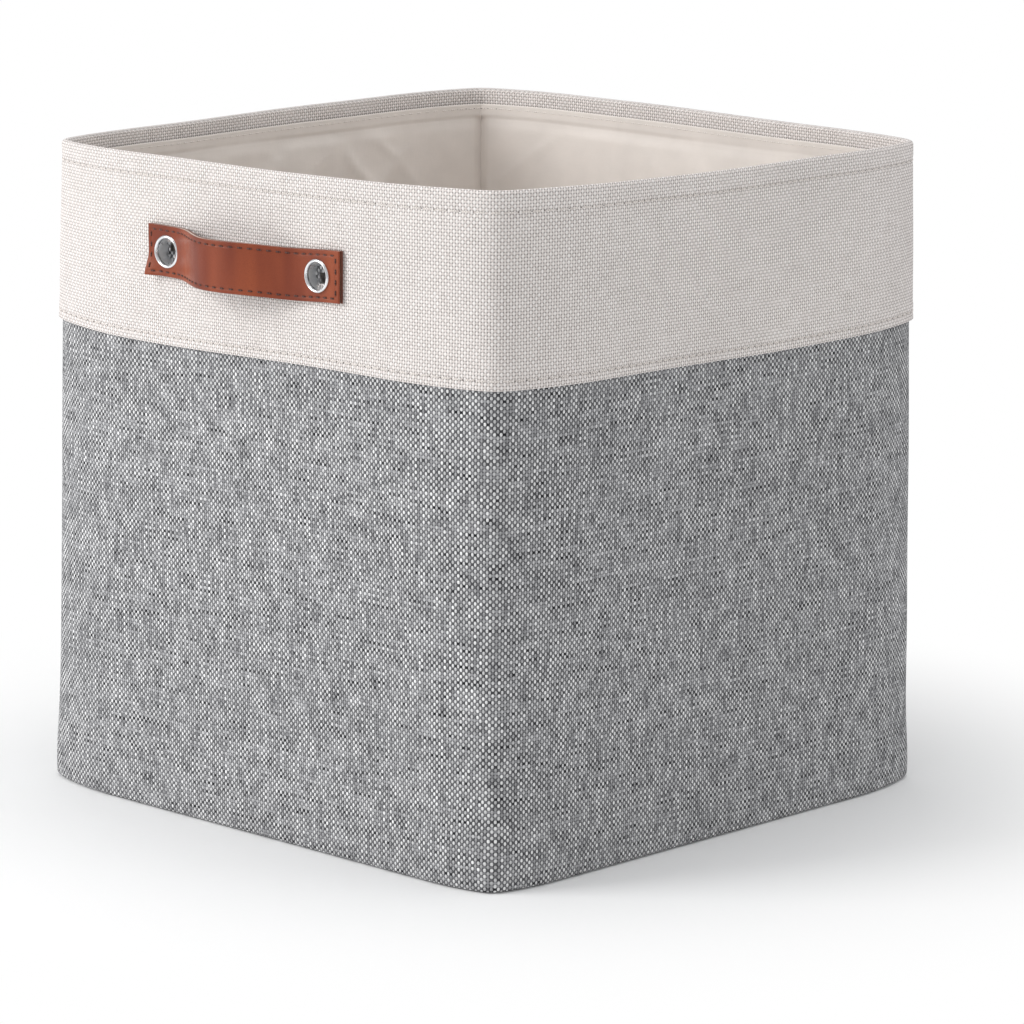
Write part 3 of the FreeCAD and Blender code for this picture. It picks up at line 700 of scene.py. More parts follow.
def soft_noise(across, up, cell_across, cell_up, seed, turn=None):
    """Smooth random heights from -1 to 1. With turn, the pattern repeats after that length."""
    table = np.random.default_rng(seed).uniform(-1, 1, (97, 89))
    count = max(1, round(turn / cell_across)) if turn else 97
    x = across / turn * count if turn else across / cell_across
    y = up / cell_up
    x0 = np.floor(x)
    y0 = np.floor(y)
    fx = x - x0
    fy = y - y0
    fx = fx ** 3 * (fx * (fx * 6 - 15) + 10)
    fy = fy ** 3 * (fy * (fy * 6 - 15) + 10)
    left = x0.astype(int) % count
    right = (x0.astype(int) + 1) % count
    low = y0.astype(int) % 89
    high = (y0.astype(int) + 1) % 89
    bottom = table[left, low] * (1 - fx) + table[right, low] * fx
    top = table[left, high] * (1 - fx) + table[right, high] * fx
    return bottom * (1 - fy) + top * fy


RIM_WAVE = [(1, 0.85, 68), (2, 0.8, -101), (5, 0.5, 143)]
HEM_WAVE = [(2, 0.55, 28), (3, 0.55, -151), (4, 0.65, 137), (5, 0.7, -70)]


def level(height, directions):
    """Where a line drawn level on the flat cloth lies on the bin: the band rides up and down a little."""
    share = np.clip((height - BAND_LOW) / (BAND_RIM - BAND_LOW), 0, 1)
    peak = 1.3 * MM * np.exp(-(1 - np.cos(directions - 0.75 * math.pi)) / 0.05)
    ride = wave(directions, HEM_WAVE) * (1 - share) + (wave(directions, RIM_WAVE) + peak) * share
    return height + ride * np.clip(height / BAND_LOW, 0, 1)


def on_level(flat, heights):
    """Add the height to points seen from above."""
    raised = level(heights, np.arctan2(flat[..., 1], flat[..., 0]))
    return np.concatenate([flat, raised[..., None]], axis=-1)


def smooth_step(value, start, end):
    share = np.clip((value - start) / (end - start), 0, 1)
    return share * share * (3 - 2 * share)


def bell(value, centre, width):
    return np.exp(-((value - centre) / width) ** 2)


# %% [markdown]
# ## Grey canvas walls
# The walls are one length of canvas sewn into a tube at the rear left corner and turned under at
# the floor. The boards inside hold each wall flat, while the corners are free to soften. The tube
# is a closed cross-section swept round the outline, so the cloth has its real thickness. Slow
# random swells of less than a millimetre keep it from looking like a moulded box.

# %% Outer wrap
WRAP_ROUND = 2.6 * MM
WRAP_LIP = 7.5 * MM
EYELET_X = 52 * MM
EYELET_Z = sum(corner.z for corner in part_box("eyelet_front_left")) / 2
HOLE_RADIUS = 7.4 * MM


def arc_points(centre, radius, start, end, steps):
    """Points (depth, height) on an arc in the wall's cross-section."""
    turn = np.radians(np.linspace(start, end, steps))
    return [(centre[0] + radius * math.cos(a), centre[1] + radius * math.sin(a)) for a in turn]


def straight(first, last, steps):
    return list(zip(np.linspace(first[0], last[0], steps), np.linspace(first[1], last[1], steps)))


def path_length(profile):
    """Distance walked along a line of points in a plane."""
    profile = np.array(profile)
    return np.concatenate([[0], np.cumsum(np.hypot(*(profile[1:] - profile[:-1]).T))])


def face_middles(grid):
    """The middle of each face of a grid, for any value held at its points."""
    return (grid[:-1, :-1] + grid[1:, 1:]) / 2


def outside_holes(points):
    """Mask of the grid's faces that are clear of the four eyelet holes."""
    middle = face_middles(points)
    clear = np.ones(middle.shape[:2], bool)
    for x in (-EYELET_X, EYELET_X):
        near = np.hypot(middle[..., 0] - x, middle[..., 2] - EYELET_Z) < HOLE_RADIUS
        clear &= ~(near & (np.abs(middle[..., 1]) > 0.9 * HALF))
    return clear


def wall_tube(name, outline, profile, relief, materials):
    """Sweep a closed profile of (depth, height) points round the outline. relief(length, height,
    depth) pushes it inwards."""
    profile = np.array(profile + profile[:1])
    heights = np.repeat(profile[:, 1][:, None], len(outline.length), axis=1)
    depths = np.repeat(profile[:, 0][:, None], len(outline.length), axis=1)
    lengths = np.repeat(outline.length[None, :], len(profile), axis=0)
    points = on_level(outline.points(heights, depths + relief(lengths, heights, depths)), heights)
    along_cloth = outline.lengths(outline.points(heights, depths))
    up_cloth = np.repeat(path_length(profile)[:, None], lengths.shape[1], axis=1)
    mesh = grid_mesh(name, points, np.stack([along_cloth, up_cloth], axis=-1), around=True, looped=True,
                     keep=outside_holes(points))
    return link_mesh(name, mesh, materials)


def wrap_relief(lengths, heights, depths):
    turn = lengths.max()
    swell = soft_noise(lengths, heights, 95 * MM, 120 * MM, 3, turn) * 0.5 * MM
    dent = soft_noise(lengths, heights, 40 * MM, 60 * MM, 4, turn) * 0.22 * MM
    seam = bell(np.minimum(lengths, turn - lengths), 0, 1.2 * MM) * 0.6 * MM
    fade = smooth_step(heights, 0, 25 * MM)
    belly = bell(heights, 12 * MM, 20 * MM) * -1.1 * MM
    return (swell + dent) * (0.25 + 0.75 * fade) + seam + belly


wrap_profile = (
    straight((WRAP_LIP, 0), (WRAP_ROUND, 0), 3)[:-1]
    + arc_points((WRAP_ROUND, WRAP_ROUND), WRAP_ROUND, 270, 180, 9)[:-1]
    + straight((0, WRAP_ROUND), (0, WRAP_TOP), 96)
    + straight((CANVAS, WRAP_TOP), (CANVAS, WRAP_ROUND), 24)[:-1]
    + arc_points((WRAP_ROUND, WRAP_ROUND), WRAP_ROUND - CANVAS, 180, 270, 6)
    + [(WRAP_LIP, CANVAS)]
)
wall_outline = Outline(side_steps=56, corner_steps=56)
outer_wrap = wall_tube("grey_walls", wall_outline, wrap_profile, wrap_relief, [GREY_CANVAS])
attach(outer_wrap, "bin")
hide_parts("outer_wrap")
print("grey walls:", len(outer_wrap.data.polygons), "faces,", round(wall_outline.length[-1], 3), "m round")

# %% [markdown]
# ## Cream band
# The band is cut on the straight, hemmed along its lower edge and folded over the rim to the
# inside. Its profile is one closed line: up the outside, round the fold, down the short inner leg
# and back. Both lines of topstitching pull the cloth in, a little more at every stitch, and the
# double hem stands slightly proud.

# %% Rim band
BAND_TURN_IN = 28 * MM
BAND_INNER_DEPTH = 2 * CANVAS + 0.3 * MM
RIM_FOLD = BAND_RIM - 2.1 * MM
RIM_STITCH = (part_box("rim_stitching")[0].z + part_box("rim_stitching")[1].z) / 2
HEM_STITCH = (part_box("hem_stitching")[0].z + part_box("hem_stitching")[1].z) / 2
STITCH_PITCH = 5.2 * MM


def stitch_count(length):
    return round(length / STITCH_PITCH)


def band_relief(lengths, heights, depths):
    turn = lengths.max()
    outside = smooth_step(-depths, 0.6 * MM, 1.2 * MM)
    step = np.cos(lengths / turn * stitch_count(turn) * FULL_TURN)
    pull = 0.34 * MM + 0.12 * MM * step
    grooves = (bell(heights, RIM_STITCH, 1.7 * MM) + bell(heights, HEM_STITCH, 1.5 * MM)) * pull
    hem = -0.35 * MM * (1 - smooth_step(heights, BAND_LOW + 7 * MM, BAND_LOW + 9.5 * MM))
    swell = soft_noise(lengths, heights, 80 * MM, 45 * MM, 11, turn) * 0.45 * MM
    pucker = soft_noise(lengths, heights, 13 * MM, 9 * MM, 12, turn) * 0.16 * MM
    near_stitch = bell(heights, RIM_STITCH, 7 * MM) + bell(heights, HEM_STITCH, 6 * MM)
    return (grooves + hem + pucker * near_stitch) * outside + swell


def fine_heights():
    """Heights up the band's outer face, closer together at the hem and the stitching."""
    marks = np.linspace(BAND_LOW + 0.7 * MM, RIM_FOLD, 700)
    weight = 1 + 3.2 * bell(marks, HEM_STITCH, 3.5 * MM) + 3.2 * bell(marks, RIM_STITCH, 3.5 * MM)
    walked = np.concatenate([[0], np.cumsum((weight[1:] + weight[:-1]) / 2 * np.diff(marks))])
    return np.interp(np.linspace(0, walked[-1], 54), walked, marks)


fold_middle = ((BAND_DEPTH + BAND_INNER_DEPTH) / 2, RIM_FOLD)
fold_radius = (BAND_INNER_DEPTH - BAND_DEPTH) / 2
band_profile = (
    arc_points((BAND_DEPTH + 0.6 * MM, BAND_LOW + 0.6 * MM), 0.6 * MM, 300, 180, 5)
    + [(BAND_DEPTH, height) for height in fine_heights()]
    + arc_points(fold_middle, fold_radius, 180, 0, 11)[1:-1]
    + straight((BAND_INNER_DEPTH, RIM_FOLD), (BAND_INNER_DEPTH, BAND_RIM - BAND_TURN_IN), 8)
    + straight((BAND_INNER_DEPTH - CANVAS, BAND_RIM - BAND_TURN_IN),
               (BAND_INNER_DEPTH - CANVAS, RIM_FOLD), 5)
    + arc_points(fold_middle, fold_radius - CANVAS, 0, 180, 6)[1:-1]
    + straight((BAND_DEPTH + CANVAS, RIM_FOLD), (BAND_DEPTH + CANVAS, BAND_LOW + 1 * MM), 10)
)
fine_outline = Outline(side_steps=120, corner_steps=110)
rim_band = wall_tube("cream_band", fine_outline, band_profile, band_relief, [CREAM_CANVAS])
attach(rim_band, "bin")
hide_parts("rim_band")
print("cream band:", len(rim_band.data.polygons), "faces")

# %% [markdown]
# ## Stitches
# A line of machine stitching is a row of short threads that dive into the cloth at needle holes.
# Each stitch is a small capsule, bowed so that its ends sink below the surface. Between two
# stitches the needle leaves a hole, and its shade is painted as a flat dark spot. All stitches of
# one seam are one piece, made from arrays of middles, directions and surface normals.

# %% Stitch builder
def stitches(name, middles, ways, normals, length, radius, materials, slot, lift=0.25, pit=0.42 * MM):
    """One capsule per row of middles, and between it and the next a dark spot of painted hole shade."""
    sides = np.cross(normals, ways)
    share = np.array([-1, -0.88, -0.6, -0.2, 0.2, 0.6, 0.88, 1])
    round_end = np.sqrt(np.clip(1 - share ** 6, 0, 1)) * 0.92 + 0.08
    bow = radius * (lift - 1.15 * share ** 4)
    angles = np.linspace(0, FULL_TURN, 7)[:-1]
    ring_side = np.cos(angles) * radius
    ring_up = np.sin(angles) * radius
    count = len(middles)
    spine = middles[:, None, :] + ways[:, None, :] * (share * length / 2)[None, :, None]
    spine = spine + normals[:, None, :] * bow[None, :, None]
    wide = sides[:, None, None, :] * (ring_side[None, :] * round_end[:, None])[None, :, :, None]
    high = normals[:, None, None, :] * (ring_up[None, :] * round_end[:, None])[None, :, :, None]
    points = (spine[:, :, None, :] + wide + high).reshape(-1, 3)
    rings = len(share)
    around = len(angles)
    base = np.arange(rings * around).reshape(rings, around)
    nearby = np.roll(base, -1, axis=1)
    quads = np.stack([base[:-1], nearby[:-1], nearby[1:], base[1:]], axis=-1).reshape(-1, 4)
    start, end = base[0], base[-1]
    caps = np.array([[start[3], start[2], start[1], start[0]], [start[0], start[5], start[4], start[3]],
                     [end[0], end[1], end[2], end[3]], [end[3], end[4], end[5], end[0]]])
    one = np.vstack([quads, caps])
    faces = (one[None] + (np.arange(count) * rings * around)[:, None, None]).reshape(-1, 4)
    ring_cloth = np.repeat((share * length / 2)[:, None], around, axis=1)
    turn_cloth = np.repeat((angles * radius)[None, :], rings, axis=0)
    flat = np.stack([ring_cloth.reshape(-1), turn_cloth.reshape(-1)], axis=-1)
    maps = np.tile(flat[one.reshape(-1)], (count, 1))
    kinds = np.zeros(len(faces), int)
    if pit:
        pit_points, pit_faces = pits(middles, ways, normals, sides, pit, radius)
        faces = np.vstack([faces, pit_faces + len(points)])
        points = np.vstack([points, pit_points])
        maps = np.vstack([maps, np.zeros((pit_faces.size, 2))])
        kinds = np.concatenate([kinds, np.ones(len(pit_faces), int)])
    mesh = bpy.data.meshes.new(name)
    mesh.from_pydata(points.tolist(), [], faces.tolist())
    set_cloth_map(mesh, maps)
    piece = link_mesh(name, mesh, materials)
    mesh.polygons.foreach_set("material_index", kinds.astype(np.int32))
    return piece


def pits(middles, ways, normals, sides, size, radius):
    """Flat eight-sided dark spots half way to the next stitch, just above the cloth: painted shade
    of the needle holes.
    """
    halfway = (middles + np.roll(middles, -1, axis=0)) / 2
    near = np.linalg.norm(np.roll(middles, -1, axis=0) - middles, axis=1) < 8 * MM
    angles = np.linspace(0, FULL_TURN, 9)[:-1]
    spot = (ways[:, None, :] * np.cos(angles)[None, :, None] * size * 1.25
            + sides[:, None, :] * np.sin(angles)[None, :, None] * size)
    points = (halfway[:, None, :] + spot + normals[:, None, :] * radius * 0.25)[near]
    base = np.arange(len(points))[:, None] * 8
    faces = np.concatenate([base + [0, 1, 2, 3], base + [0, 3, 4, 7], base + [4, 5, 6, 7]])
    return points.reshape(-1, 3), faces


def seam_round(name, height, depth_of, count, length, radius, materials, slot, inside=False, **more):
    """A seam round the bin at a height. depth_of(lengths, heights) is the cloth's surface there."""
    lengths = (np.arange(count) + 0.5) / count * fine_outline.length[-1]
    heights = np.full(count, height)
    line = fine_outline.at(lengths)
    middles = on_level(line.points(heights, depth_of(lengths, heights)), heights)
    ways = np.roll(middles, -1, axis=0) - np.roll(middles, 1, axis=0)
    ways /= np.linalg.norm(ways, axis=1)[:, None]
    out = np.concatenate([line.normals * (-1 if inside else 1), np.zeros((count, 1))], axis=-1)
    seam = stitches(name, middles, ways, out, length, radius, materials, slot, **more)
    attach(seam, "bin")
    return seam


def band_surface(lengths, heights):
    turn = fine_outline.length[-1]
    depths = np.full_like(lengths, BAND_DEPTH)
    full = band_relief(np.append(lengths, turn), np.append(heights, 0), np.append(depths, 0))
    return BAND_DEPTH + full[:-1]


around_count = stitch_count(fine_outline.length[-1])
rim_seam = seam_round("rim_seam", RIM_STITCH, band_surface, around_count, 4.3 * MM, 0.36 * MM,
                      [CREAM_THREAD, CANVAS_HOLE_SHADE], "cream_thread", pit=0.34 * MM)
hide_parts("rim_stitching")
hem_seam = seam_round("hem_seam", HEM_STITCH, band_surface, around_count, 4.3 * MM, 0.36 * MM,
                      [CREAM_THREAD, CANVAS_HOLE_SHADE], "cream_thread", pit=0.34 * MM)
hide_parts("hem_stitching")
print("seams:", around_count, "stitches each")

# %% [markdown]
# ## Slabs
# Flat pieces, such as the straps and the floor cloth, are two matching grids of points, an upper
# face and a lower face, joined round the edge.

# %% Slab builder
TINY = 1e-9


def slab(name, upper, lower, cloth, materials, clear=None):
    """Two grids of rows x columns x 3 closed at their edges. clear masks faces left out of both."""
    rows, columns = upper.shape[:2]
    index = np.arange(rows * columns).reshape(rows, columns)
    top = np.stack([index[:-1, :-1], index[:-1, 1:], index[1:, 1:], index[1:, :-1]], axis=-1)
    if clear is None:
        clear = np.ones(top.shape[:2], bool)
    top = top[clear]
    under = top[:, ::-1] + rows * columns
    edge = np.concatenate([index[0, :-1], index[:-1, -1], index[-1, :0:-1], index[:0:-1, 0]])
    after = np.roll(edge, -1)
    side = np.stack([after, edge, edge + rows * columns, after + rows * columns], axis=-1)
    faces = np.vstack([top, under, side])
    points = np.vstack([upper.reshape(-1, 3), lower.reshape(-1, 3)])
    flat = np.vstack([cloth.reshape(-1, 2)] * 2)
    mesh = bpy.data.meshes.new(name)
    mesh.from_pydata(points.tolist(), [], faces.tolist())
    set_cloth_map(mesh, flat[faces.reshape(-1)])
    drop_loose_points(mesh)
    return link_mesh(name, mesh, materials)


def rounded_square(across, along, half, corner):
    """The point of a rounded square's edge for a point on the unit square's edge. half and corner
    may change from point to point."""
    corner = np.minimum(corner, half * 0.95)
    run = half - corner
    straight_share = run / np.maximum(run + corner * math.pi / 4, TINY)
    big = np.maximum(np.maximum(np.abs(across), np.abs(along)), TINY)
    on_side = np.abs(across) >= np.abs(along)
    main = np.where(on_side, across, along)
    other = np.where(on_side, along, across) / big
    past_straight = (np.abs(other) - straight_share) / np.maximum(1 - straight_share, TINY)
    turned = np.clip(past_straight, 0, 1) * math.pi / 4
    on_straight = np.abs(other) / np.maximum(straight_share, TINY) * run
    round_part = run + corner * np.sin(turned)
    lengthways = np.sign(other) * np.where(np.abs(other) < straight_share, on_straight, round_part)
    outwards = np.sign(main) * (run + corner * np.cos(turned))
    return np.where(on_side, outwards, lengthways), np.where(on_side, lengthways, outwards)


def square_grid(steps):
    """A grid from -1 to 1 both ways, with each point's ring number from 0 in the middle to 1."""
    line = np.linspace(-1, 1, 2 * steps + 1)
    across, along = np.meshgrid(line, line)
    return across, along, np.maximum(np.abs(across), np.abs(along))


# %% [markdown]
# ## Canvas bottom and lining floor
# The bottom is one square of the same grey canvas, set into the walls' turned edge. The lining's
# floor lies on it and is a little slack.

# %% Bottom pieces
def floor_sheet(name, node, corner, material, swell, seed):
    low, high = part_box(node)
    across, along, ring = square_grid(40)
    x, y = rounded_square(across, along, high.x, corner)
    x, y = x * ring, y * ring
    lift = (soft_noise(x + 1, y + 1, 45 * MM, 45 * MM, seed) * 0.5 + 0.5) * swell * (1 - ring ** 6)
    upper = np.stack([x, y, high.z + lift], axis=-1)
    lower = np.stack([x, y, low.z + lift], axis=-1)
    piece = slab(name, upper, lower, np.stack([x, y], axis=-1), [material])
    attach(piece, "bin")
    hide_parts(node)


floor_sheet("canvas_bottom", "outer_base", 28 * MM, GREY_CANVAS, 0.0, 21)
floor_sheet("floor_lining", "lining_floor", 30 * MM, LINING_CLOTH, 0.3 * MM, 22)
print("bottom sheets made")

# %% [markdown]
# ## Lining walls
# The lining is cut as four panels, joined at the corners and sewn to the band's turned-in edge.
# It is cut slightly long and wide, so it puffs out under the seam and falls in soft folds lower
# down. The folds are sums of smooth noise: short gathers that die away below the seam, slanting
# creases that run both ways, and broad swells. At the corner seams the cloth is pulled back
# towards the wall.

# %% Lining panels
FOLD_ROOM = 3.6 * MM


def lining_relief(share, lengths, heights, seed):
    """How far the lining stands in from the wall; share runs 0 to 1 across one panel."""
    below = LINING_TOP - heights
    side = np.minimum(share, 1 - share)
    drift = soft_noise(lengths, heights, 60 * MM, 70 * MM, seed + 5) * 14 * MM
    hem = 0.7 * MM * (1 - smooth_step(below, 6.2 * MM, 7.4 * MM))
    gather = soft_noise(lengths + 0.2 * below, below * 0.3, 23 * MM, 24 * MM, seed) * 0.5 + 0.5
    gather = gather ** 1.6 * 2.4 * MM * np.exp(-below / (38 * MM)) * smooth_step(below, 7 * MM, 15 * MM)
    puff = 0.7 * MM * smooth_step(below, 7.5 * MM, 14 * MM) * np.exp(-below / (55 * MM))
    swell = (soft_noise(lengths, heights, 62 * MM, 85 * MM, seed + 1) * 0.5 + 0.5) * 1.0 * MM
    slant = (lengths + drift) * np.cos(0.6) + (below + drift) * np.sin(0.6)
    other = (lengths - drift) * np.cos(0.9) - (below - drift) * np.sin(0.9)
    folds = 0
    for place, gap, number in ((slant, 25 * MM, 2), (other, 34 * MM, 3)):
        ridge = 1 - np.abs(soft_noise(place, lengths * 0, gap, gap, seed + number))
        strength = soft_noise(lengths, heights, 48 * MM, 55 * MM, seed + 6 + number) * 0.5 + 0.5
        folds = folds + ridge ** 4 * strength * 4.6 * MM
    folds = folds * smooth_step(below, 9 * MM, 26 * MM)
    beside_seam = bell(side, 0.045, 0.02) * (0.5 + 0.5 * np.cos(below / (21 * MM) + seed)) * 1.3 * MM
    total = puff + gather + swell + folds + beside_seam * smooth_step(below, 8 * MM, 20 * MM)
    total = FOLD_ROOM * np.tanh(total / FOLD_ROOM)
    corner_room = 0.55 + 0.45 * smooth_step(side, 0.12, 0.26)
    into_seam = smooth_step(side, 0.0, 0.022)
    settled = smooth_step(heights, LINING_LOW, LINING_LOW + 14 * MM)
    free = smooth_step(below, 6.4 * MM, 8 * MM)
    return hem + total * corner_room * into_seam * settled * free - 1.1 * MM * (1 - into_seam) * free


def lining_panel(node, name, first, last, seed):
    """One panel between two corner middles, as column numbers of the outline."""
    columns = slice(first, last + 1)
    lengths = wall_outline.length[columns]
    share = (lengths - lengths[0]) / (lengths[-1] - lengths[0])
    heights = np.concatenate([np.linspace(LINING_LOW, LINING_TOP - 60 * MM, 84)[:-1],
                              np.linspace(LINING_TOP - 60 * MM, LINING_TOP, 66)])
    heights = np.repeat(heights[:, None], len(lengths), axis=1)
    relief = lining_relief(share[None, :], lengths[None, :], heights, seed)
    inner, outer = [on_level(wall_outline.points(heights, depth + relief, columns), heights)[:, ::-1]
                    for depth in (LINING_DEPTH + LINING, LINING_DEPTH)]
    cloth = np.stack(np.broadcast_arrays(lengths[None, :], heights), axis=-1)[:, ::-1]
    panel = slab(name, inner, outer, cloth, [LINING_CLOTH])
    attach(panel, "bin")
    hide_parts(node)


quarter = (len(wall_outline.length) - 1) // 4
for turn_number, side_name in enumerate(("left", "front", "right", "rear")):
    lining_panel(f"lining_{side_name}", f"{side_name}_lining", quarter * turn_number,
                 quarter * (turn_number + 1), 40 + 10 * turn_number)
print("lining panels made")


def lining_seam_depth(lengths, heights):
    return np.full_like(lengths, LINING_DEPTH + LINING + 0.6 * MM)


lining_seam = seam_round("lining_seam", LINING_TOP - 2.5 * MM, lining_seam_depth, around_count, 3.6 * MM,
                         0.3 * MM, [CREAM_THREAD, CANVAS_HOLE_SHADE], "cream_thread", inside=True, pit=0.25 * MM)
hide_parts("lining_stitching")

# %% [markdown]
# ## Wall boards
# Each wall is stiffened by a greyboard between canvas and lining. The boards reach into the start
# of the round corners, so the cloth pulls their ends inwards: they follow the wall's outline. The
# front and rear boards are punched for the eyelets.

# %% Wall boards
BOARD_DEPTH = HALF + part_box("wall_board_front")[0].y
BOARD_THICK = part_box("wall_board_front")[1].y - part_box("wall_board_front")[0].y
BOARD_STEP = 1.25 * MM


def board_face(columns, axis, heading, offsets, heights, depth):
    """Rows of points on one wall, set out both ways from its middle line. The wall runs along an
    axis (0 or 1), towards that axis's positive end where heading is 1."""
    rows = []
    for height in heights:
        points = wall_outline.points(np.array([[height]]), depth, columns)[0]
        walked = path_length(points)
        places = np.interp(0, points[:, axis] * heading, walked) + offsets
        flat = [np.interp(places, walked, points[:, i]) for i in (0, 1)]
        rows.append(np.stack([*flat, np.full_like(offsets, height)], axis=-1))
    return np.array(rows)


def wall_board(side_name, first, axis, heading):
    """The board of one wall. first is the outline's column in the middle of the corner before it."""
    low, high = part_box(f"wall_board_{side_name}")
    half = (high - low)[axis] / 2
    offsets = np.linspace(-half, half, round(2 * half / BOARD_STEP) + 1)
    heights = np.linspace(low.z, high.z, round((high.z - low.z) / BOARD_STEP) + 1)
    columns = slice(first, first + quarter + 1)
    inner, outer = [board_face(columns, axis, heading, offsets, heights, depth)[:, ::-1]
                    for depth in (BOARD_DEPTH + BOARD_THICK, BOARD_DEPTH)]
    cloth = np.stack(np.meshgrid(offsets, heights), axis=-1)[:, ::-1]
    piece = slab(f"{side_name}_board", inner, outer, cloth, [GREYBOARD],
                 clear=outside_holes(outer))
    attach(piece, "bin")
    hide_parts(f"wall_board_{side_name}")


for turn_number, (side_name, axis, heading) in enumerate(
        (("left", 1, -1), ("front", 0, 1), ("right", 1, 1), ("rear", 0, -1))):
    wall_board(side_name, quarter * turn_number, axis, heading)
print("wall boards made")

# %% [markdown]
# ## Base board
# A loose greyboard lies on the floor, covered with the lining cloth. The cloth wraps round the
# edge and is glued about 35 mm in underneath, so its underside shows the bare board. It is made
# as one sheet whose rings run over the top, round the soft edge and back below.

# %% Base board cover
COVER_TURN = 35 * MM


def board_cover():
    low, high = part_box("base_board_cover")
    half = high.x
    edge = (high.z - low.z) / 2
    corner = 40 * MM
    top_run = half - edge
    turn_run = edge * math.pi
    total = top_run + turn_run + COVER_TURN
    across, along, ring = square_grid(110)
    walked = ring * total
    around_edge = np.clip((walked - top_run) / edge, 0, math.pi)
    middle = (high.z + low.z) / 2

    def shell(inset):
        radius = edge - inset
        reach = np.where(walked < top_run, walked, top_run + radius * np.sin(around_edge))
        reach = reach - np.clip(walked - top_run - turn_run, 0, None)
        height = middle + radius * np.cos(around_edge)
        from_edge = half - reach
        sharp = np.clip(corner - from_edge, 2 * MM, None)
        x, y = rounded_square(across, along, reach, sharp)
        bump = soft_noise(x + 1, y + 1, 55 * MM, 55 * MM, 71) * 0.22
        bump = bump + soft_noise(x + 1, y + 1, 18 * MM, 30 * MM, 72) * 0.08
        top_only = 1 - smooth_step(walked, top_run * 0.9, top_run)
        return np.stack([x, y, height + bump * MM * top_only], axis=-1)

    cloth = np.stack([across * total, along * total], axis=-1)
    piece = slab("board_cover", shell(0.0), shell(LINING), cloth, [LINING_CLOTH])
    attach(piece, "base_board")
    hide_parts("base_board_cover")


board_cover()
print("base board cover made")

# %% [markdown]
# ## Strap handles
# Each handle is a strip of leather backed with a second strip, with a thin stiffener between
# them. The strip is flat under the eyelets and bows out from the wall so that fingers fit behind
# it. Real straps are never quite even: the bow hangs a touch towards one side, the end by the
# first eyelet is tilted, and its lower corner curls off the wall. One function says where any
# point of the strap lies, and the three layers and the stitching all use it.

# %% Strap shape
STRAP_REACH = 66.5 * MM
STRAP_WIDTH = 25 * MM
STRAP_Z = EYELET_Z
STRAP_FOOT = -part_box("handle_front_backing")[1].y
LEATHER_THICK = 1.2 * MM
STITCH_INSET = 2.3 * MM
STRAP_HOLE = 6.9 * MM


def strap_stand(x):
    """How far the strap's back stands from the wall at a place along the wall."""
    rise = smooth_step(x, -47 * MM, -6 * MM)
    fall = 1 - smooth_step(x, -1 * MM, 46 * MM)
    tilt = 1.3 * MM * smooth_step(x, -72 * MM, -38 * MM) * (1 - smooth_step(x, -30 * MM, 0))
    return 16.4 * MM * rise * fall + tilt


def strap_sag(x):
    return -1.5 * MM * bell(x, 36 * MM, 19 * MM) - 0.3 * MM * bell(x, -10 * MM, 20 * MM)


strap_x = np.linspace(-STRAP_REACH, STRAP_REACH, 1200)
strap_walk = path_length(np.stack([strap_x, strap_stand(strap_x)], axis=-1))
STRAP_LENGTH = strap_walk[-1]


def on_strap(along, across, lift):
    """A point of the front strap. along is the length from its left end, across runs up from its
    middle line, and lift is the height above its back face."""
    x = np.interp(along, strap_walk, strap_x)
    stand = strap_stand(x)
    step = 0.05 * MM
    slope = (strap_stand(x + step) - strap_stand(x - step)) / (2 * step)
    size = np.sqrt(1 + slope ** 2)
    curl = 3.2 * MM * smooth_step(-x, 56 * MM, 68 * MM) * smooth_step(-across, 1 * MM, 13 * MM)
    lean = 0.35 * MM * bell(x, 0, 26 * MM) * across / (STRAP_WIDTH / 2)
    out = stand + curl + lean + lift / size
    height = STRAP_Z + across + strap_sag(x)
    return np.stack([x - lift * slope / size, -(STRAP_FOOT + out), height], axis=-1)


def edge_spaced(length, fine, coarse):
    """Places from 0 to length, crowded near both ends where edges are rounded and stitched."""
    near = np.array([0, 0.08, 0.2, 0.4, 0.7, 1.1, 1.5, 1.8, 2.05, 2.3, 2.55, 2.8, 3.1, 3.6]) * MM * fine
    inner = np.arange(near[-1] + coarse, length - near[-1] - coarse * 0.5, coarse)
    return np.concatenate([near, inner, (length - near)[::-1]])


# %% [markdown]
# The front leather has rolled edges and a shallow groove where the stitching pulls it down. Its
# face also keeps the faint dishing of a strap that has been flexed. The backing is flat and
# plain, and the pale stiffener shows as a thin line between them along the cut edge.

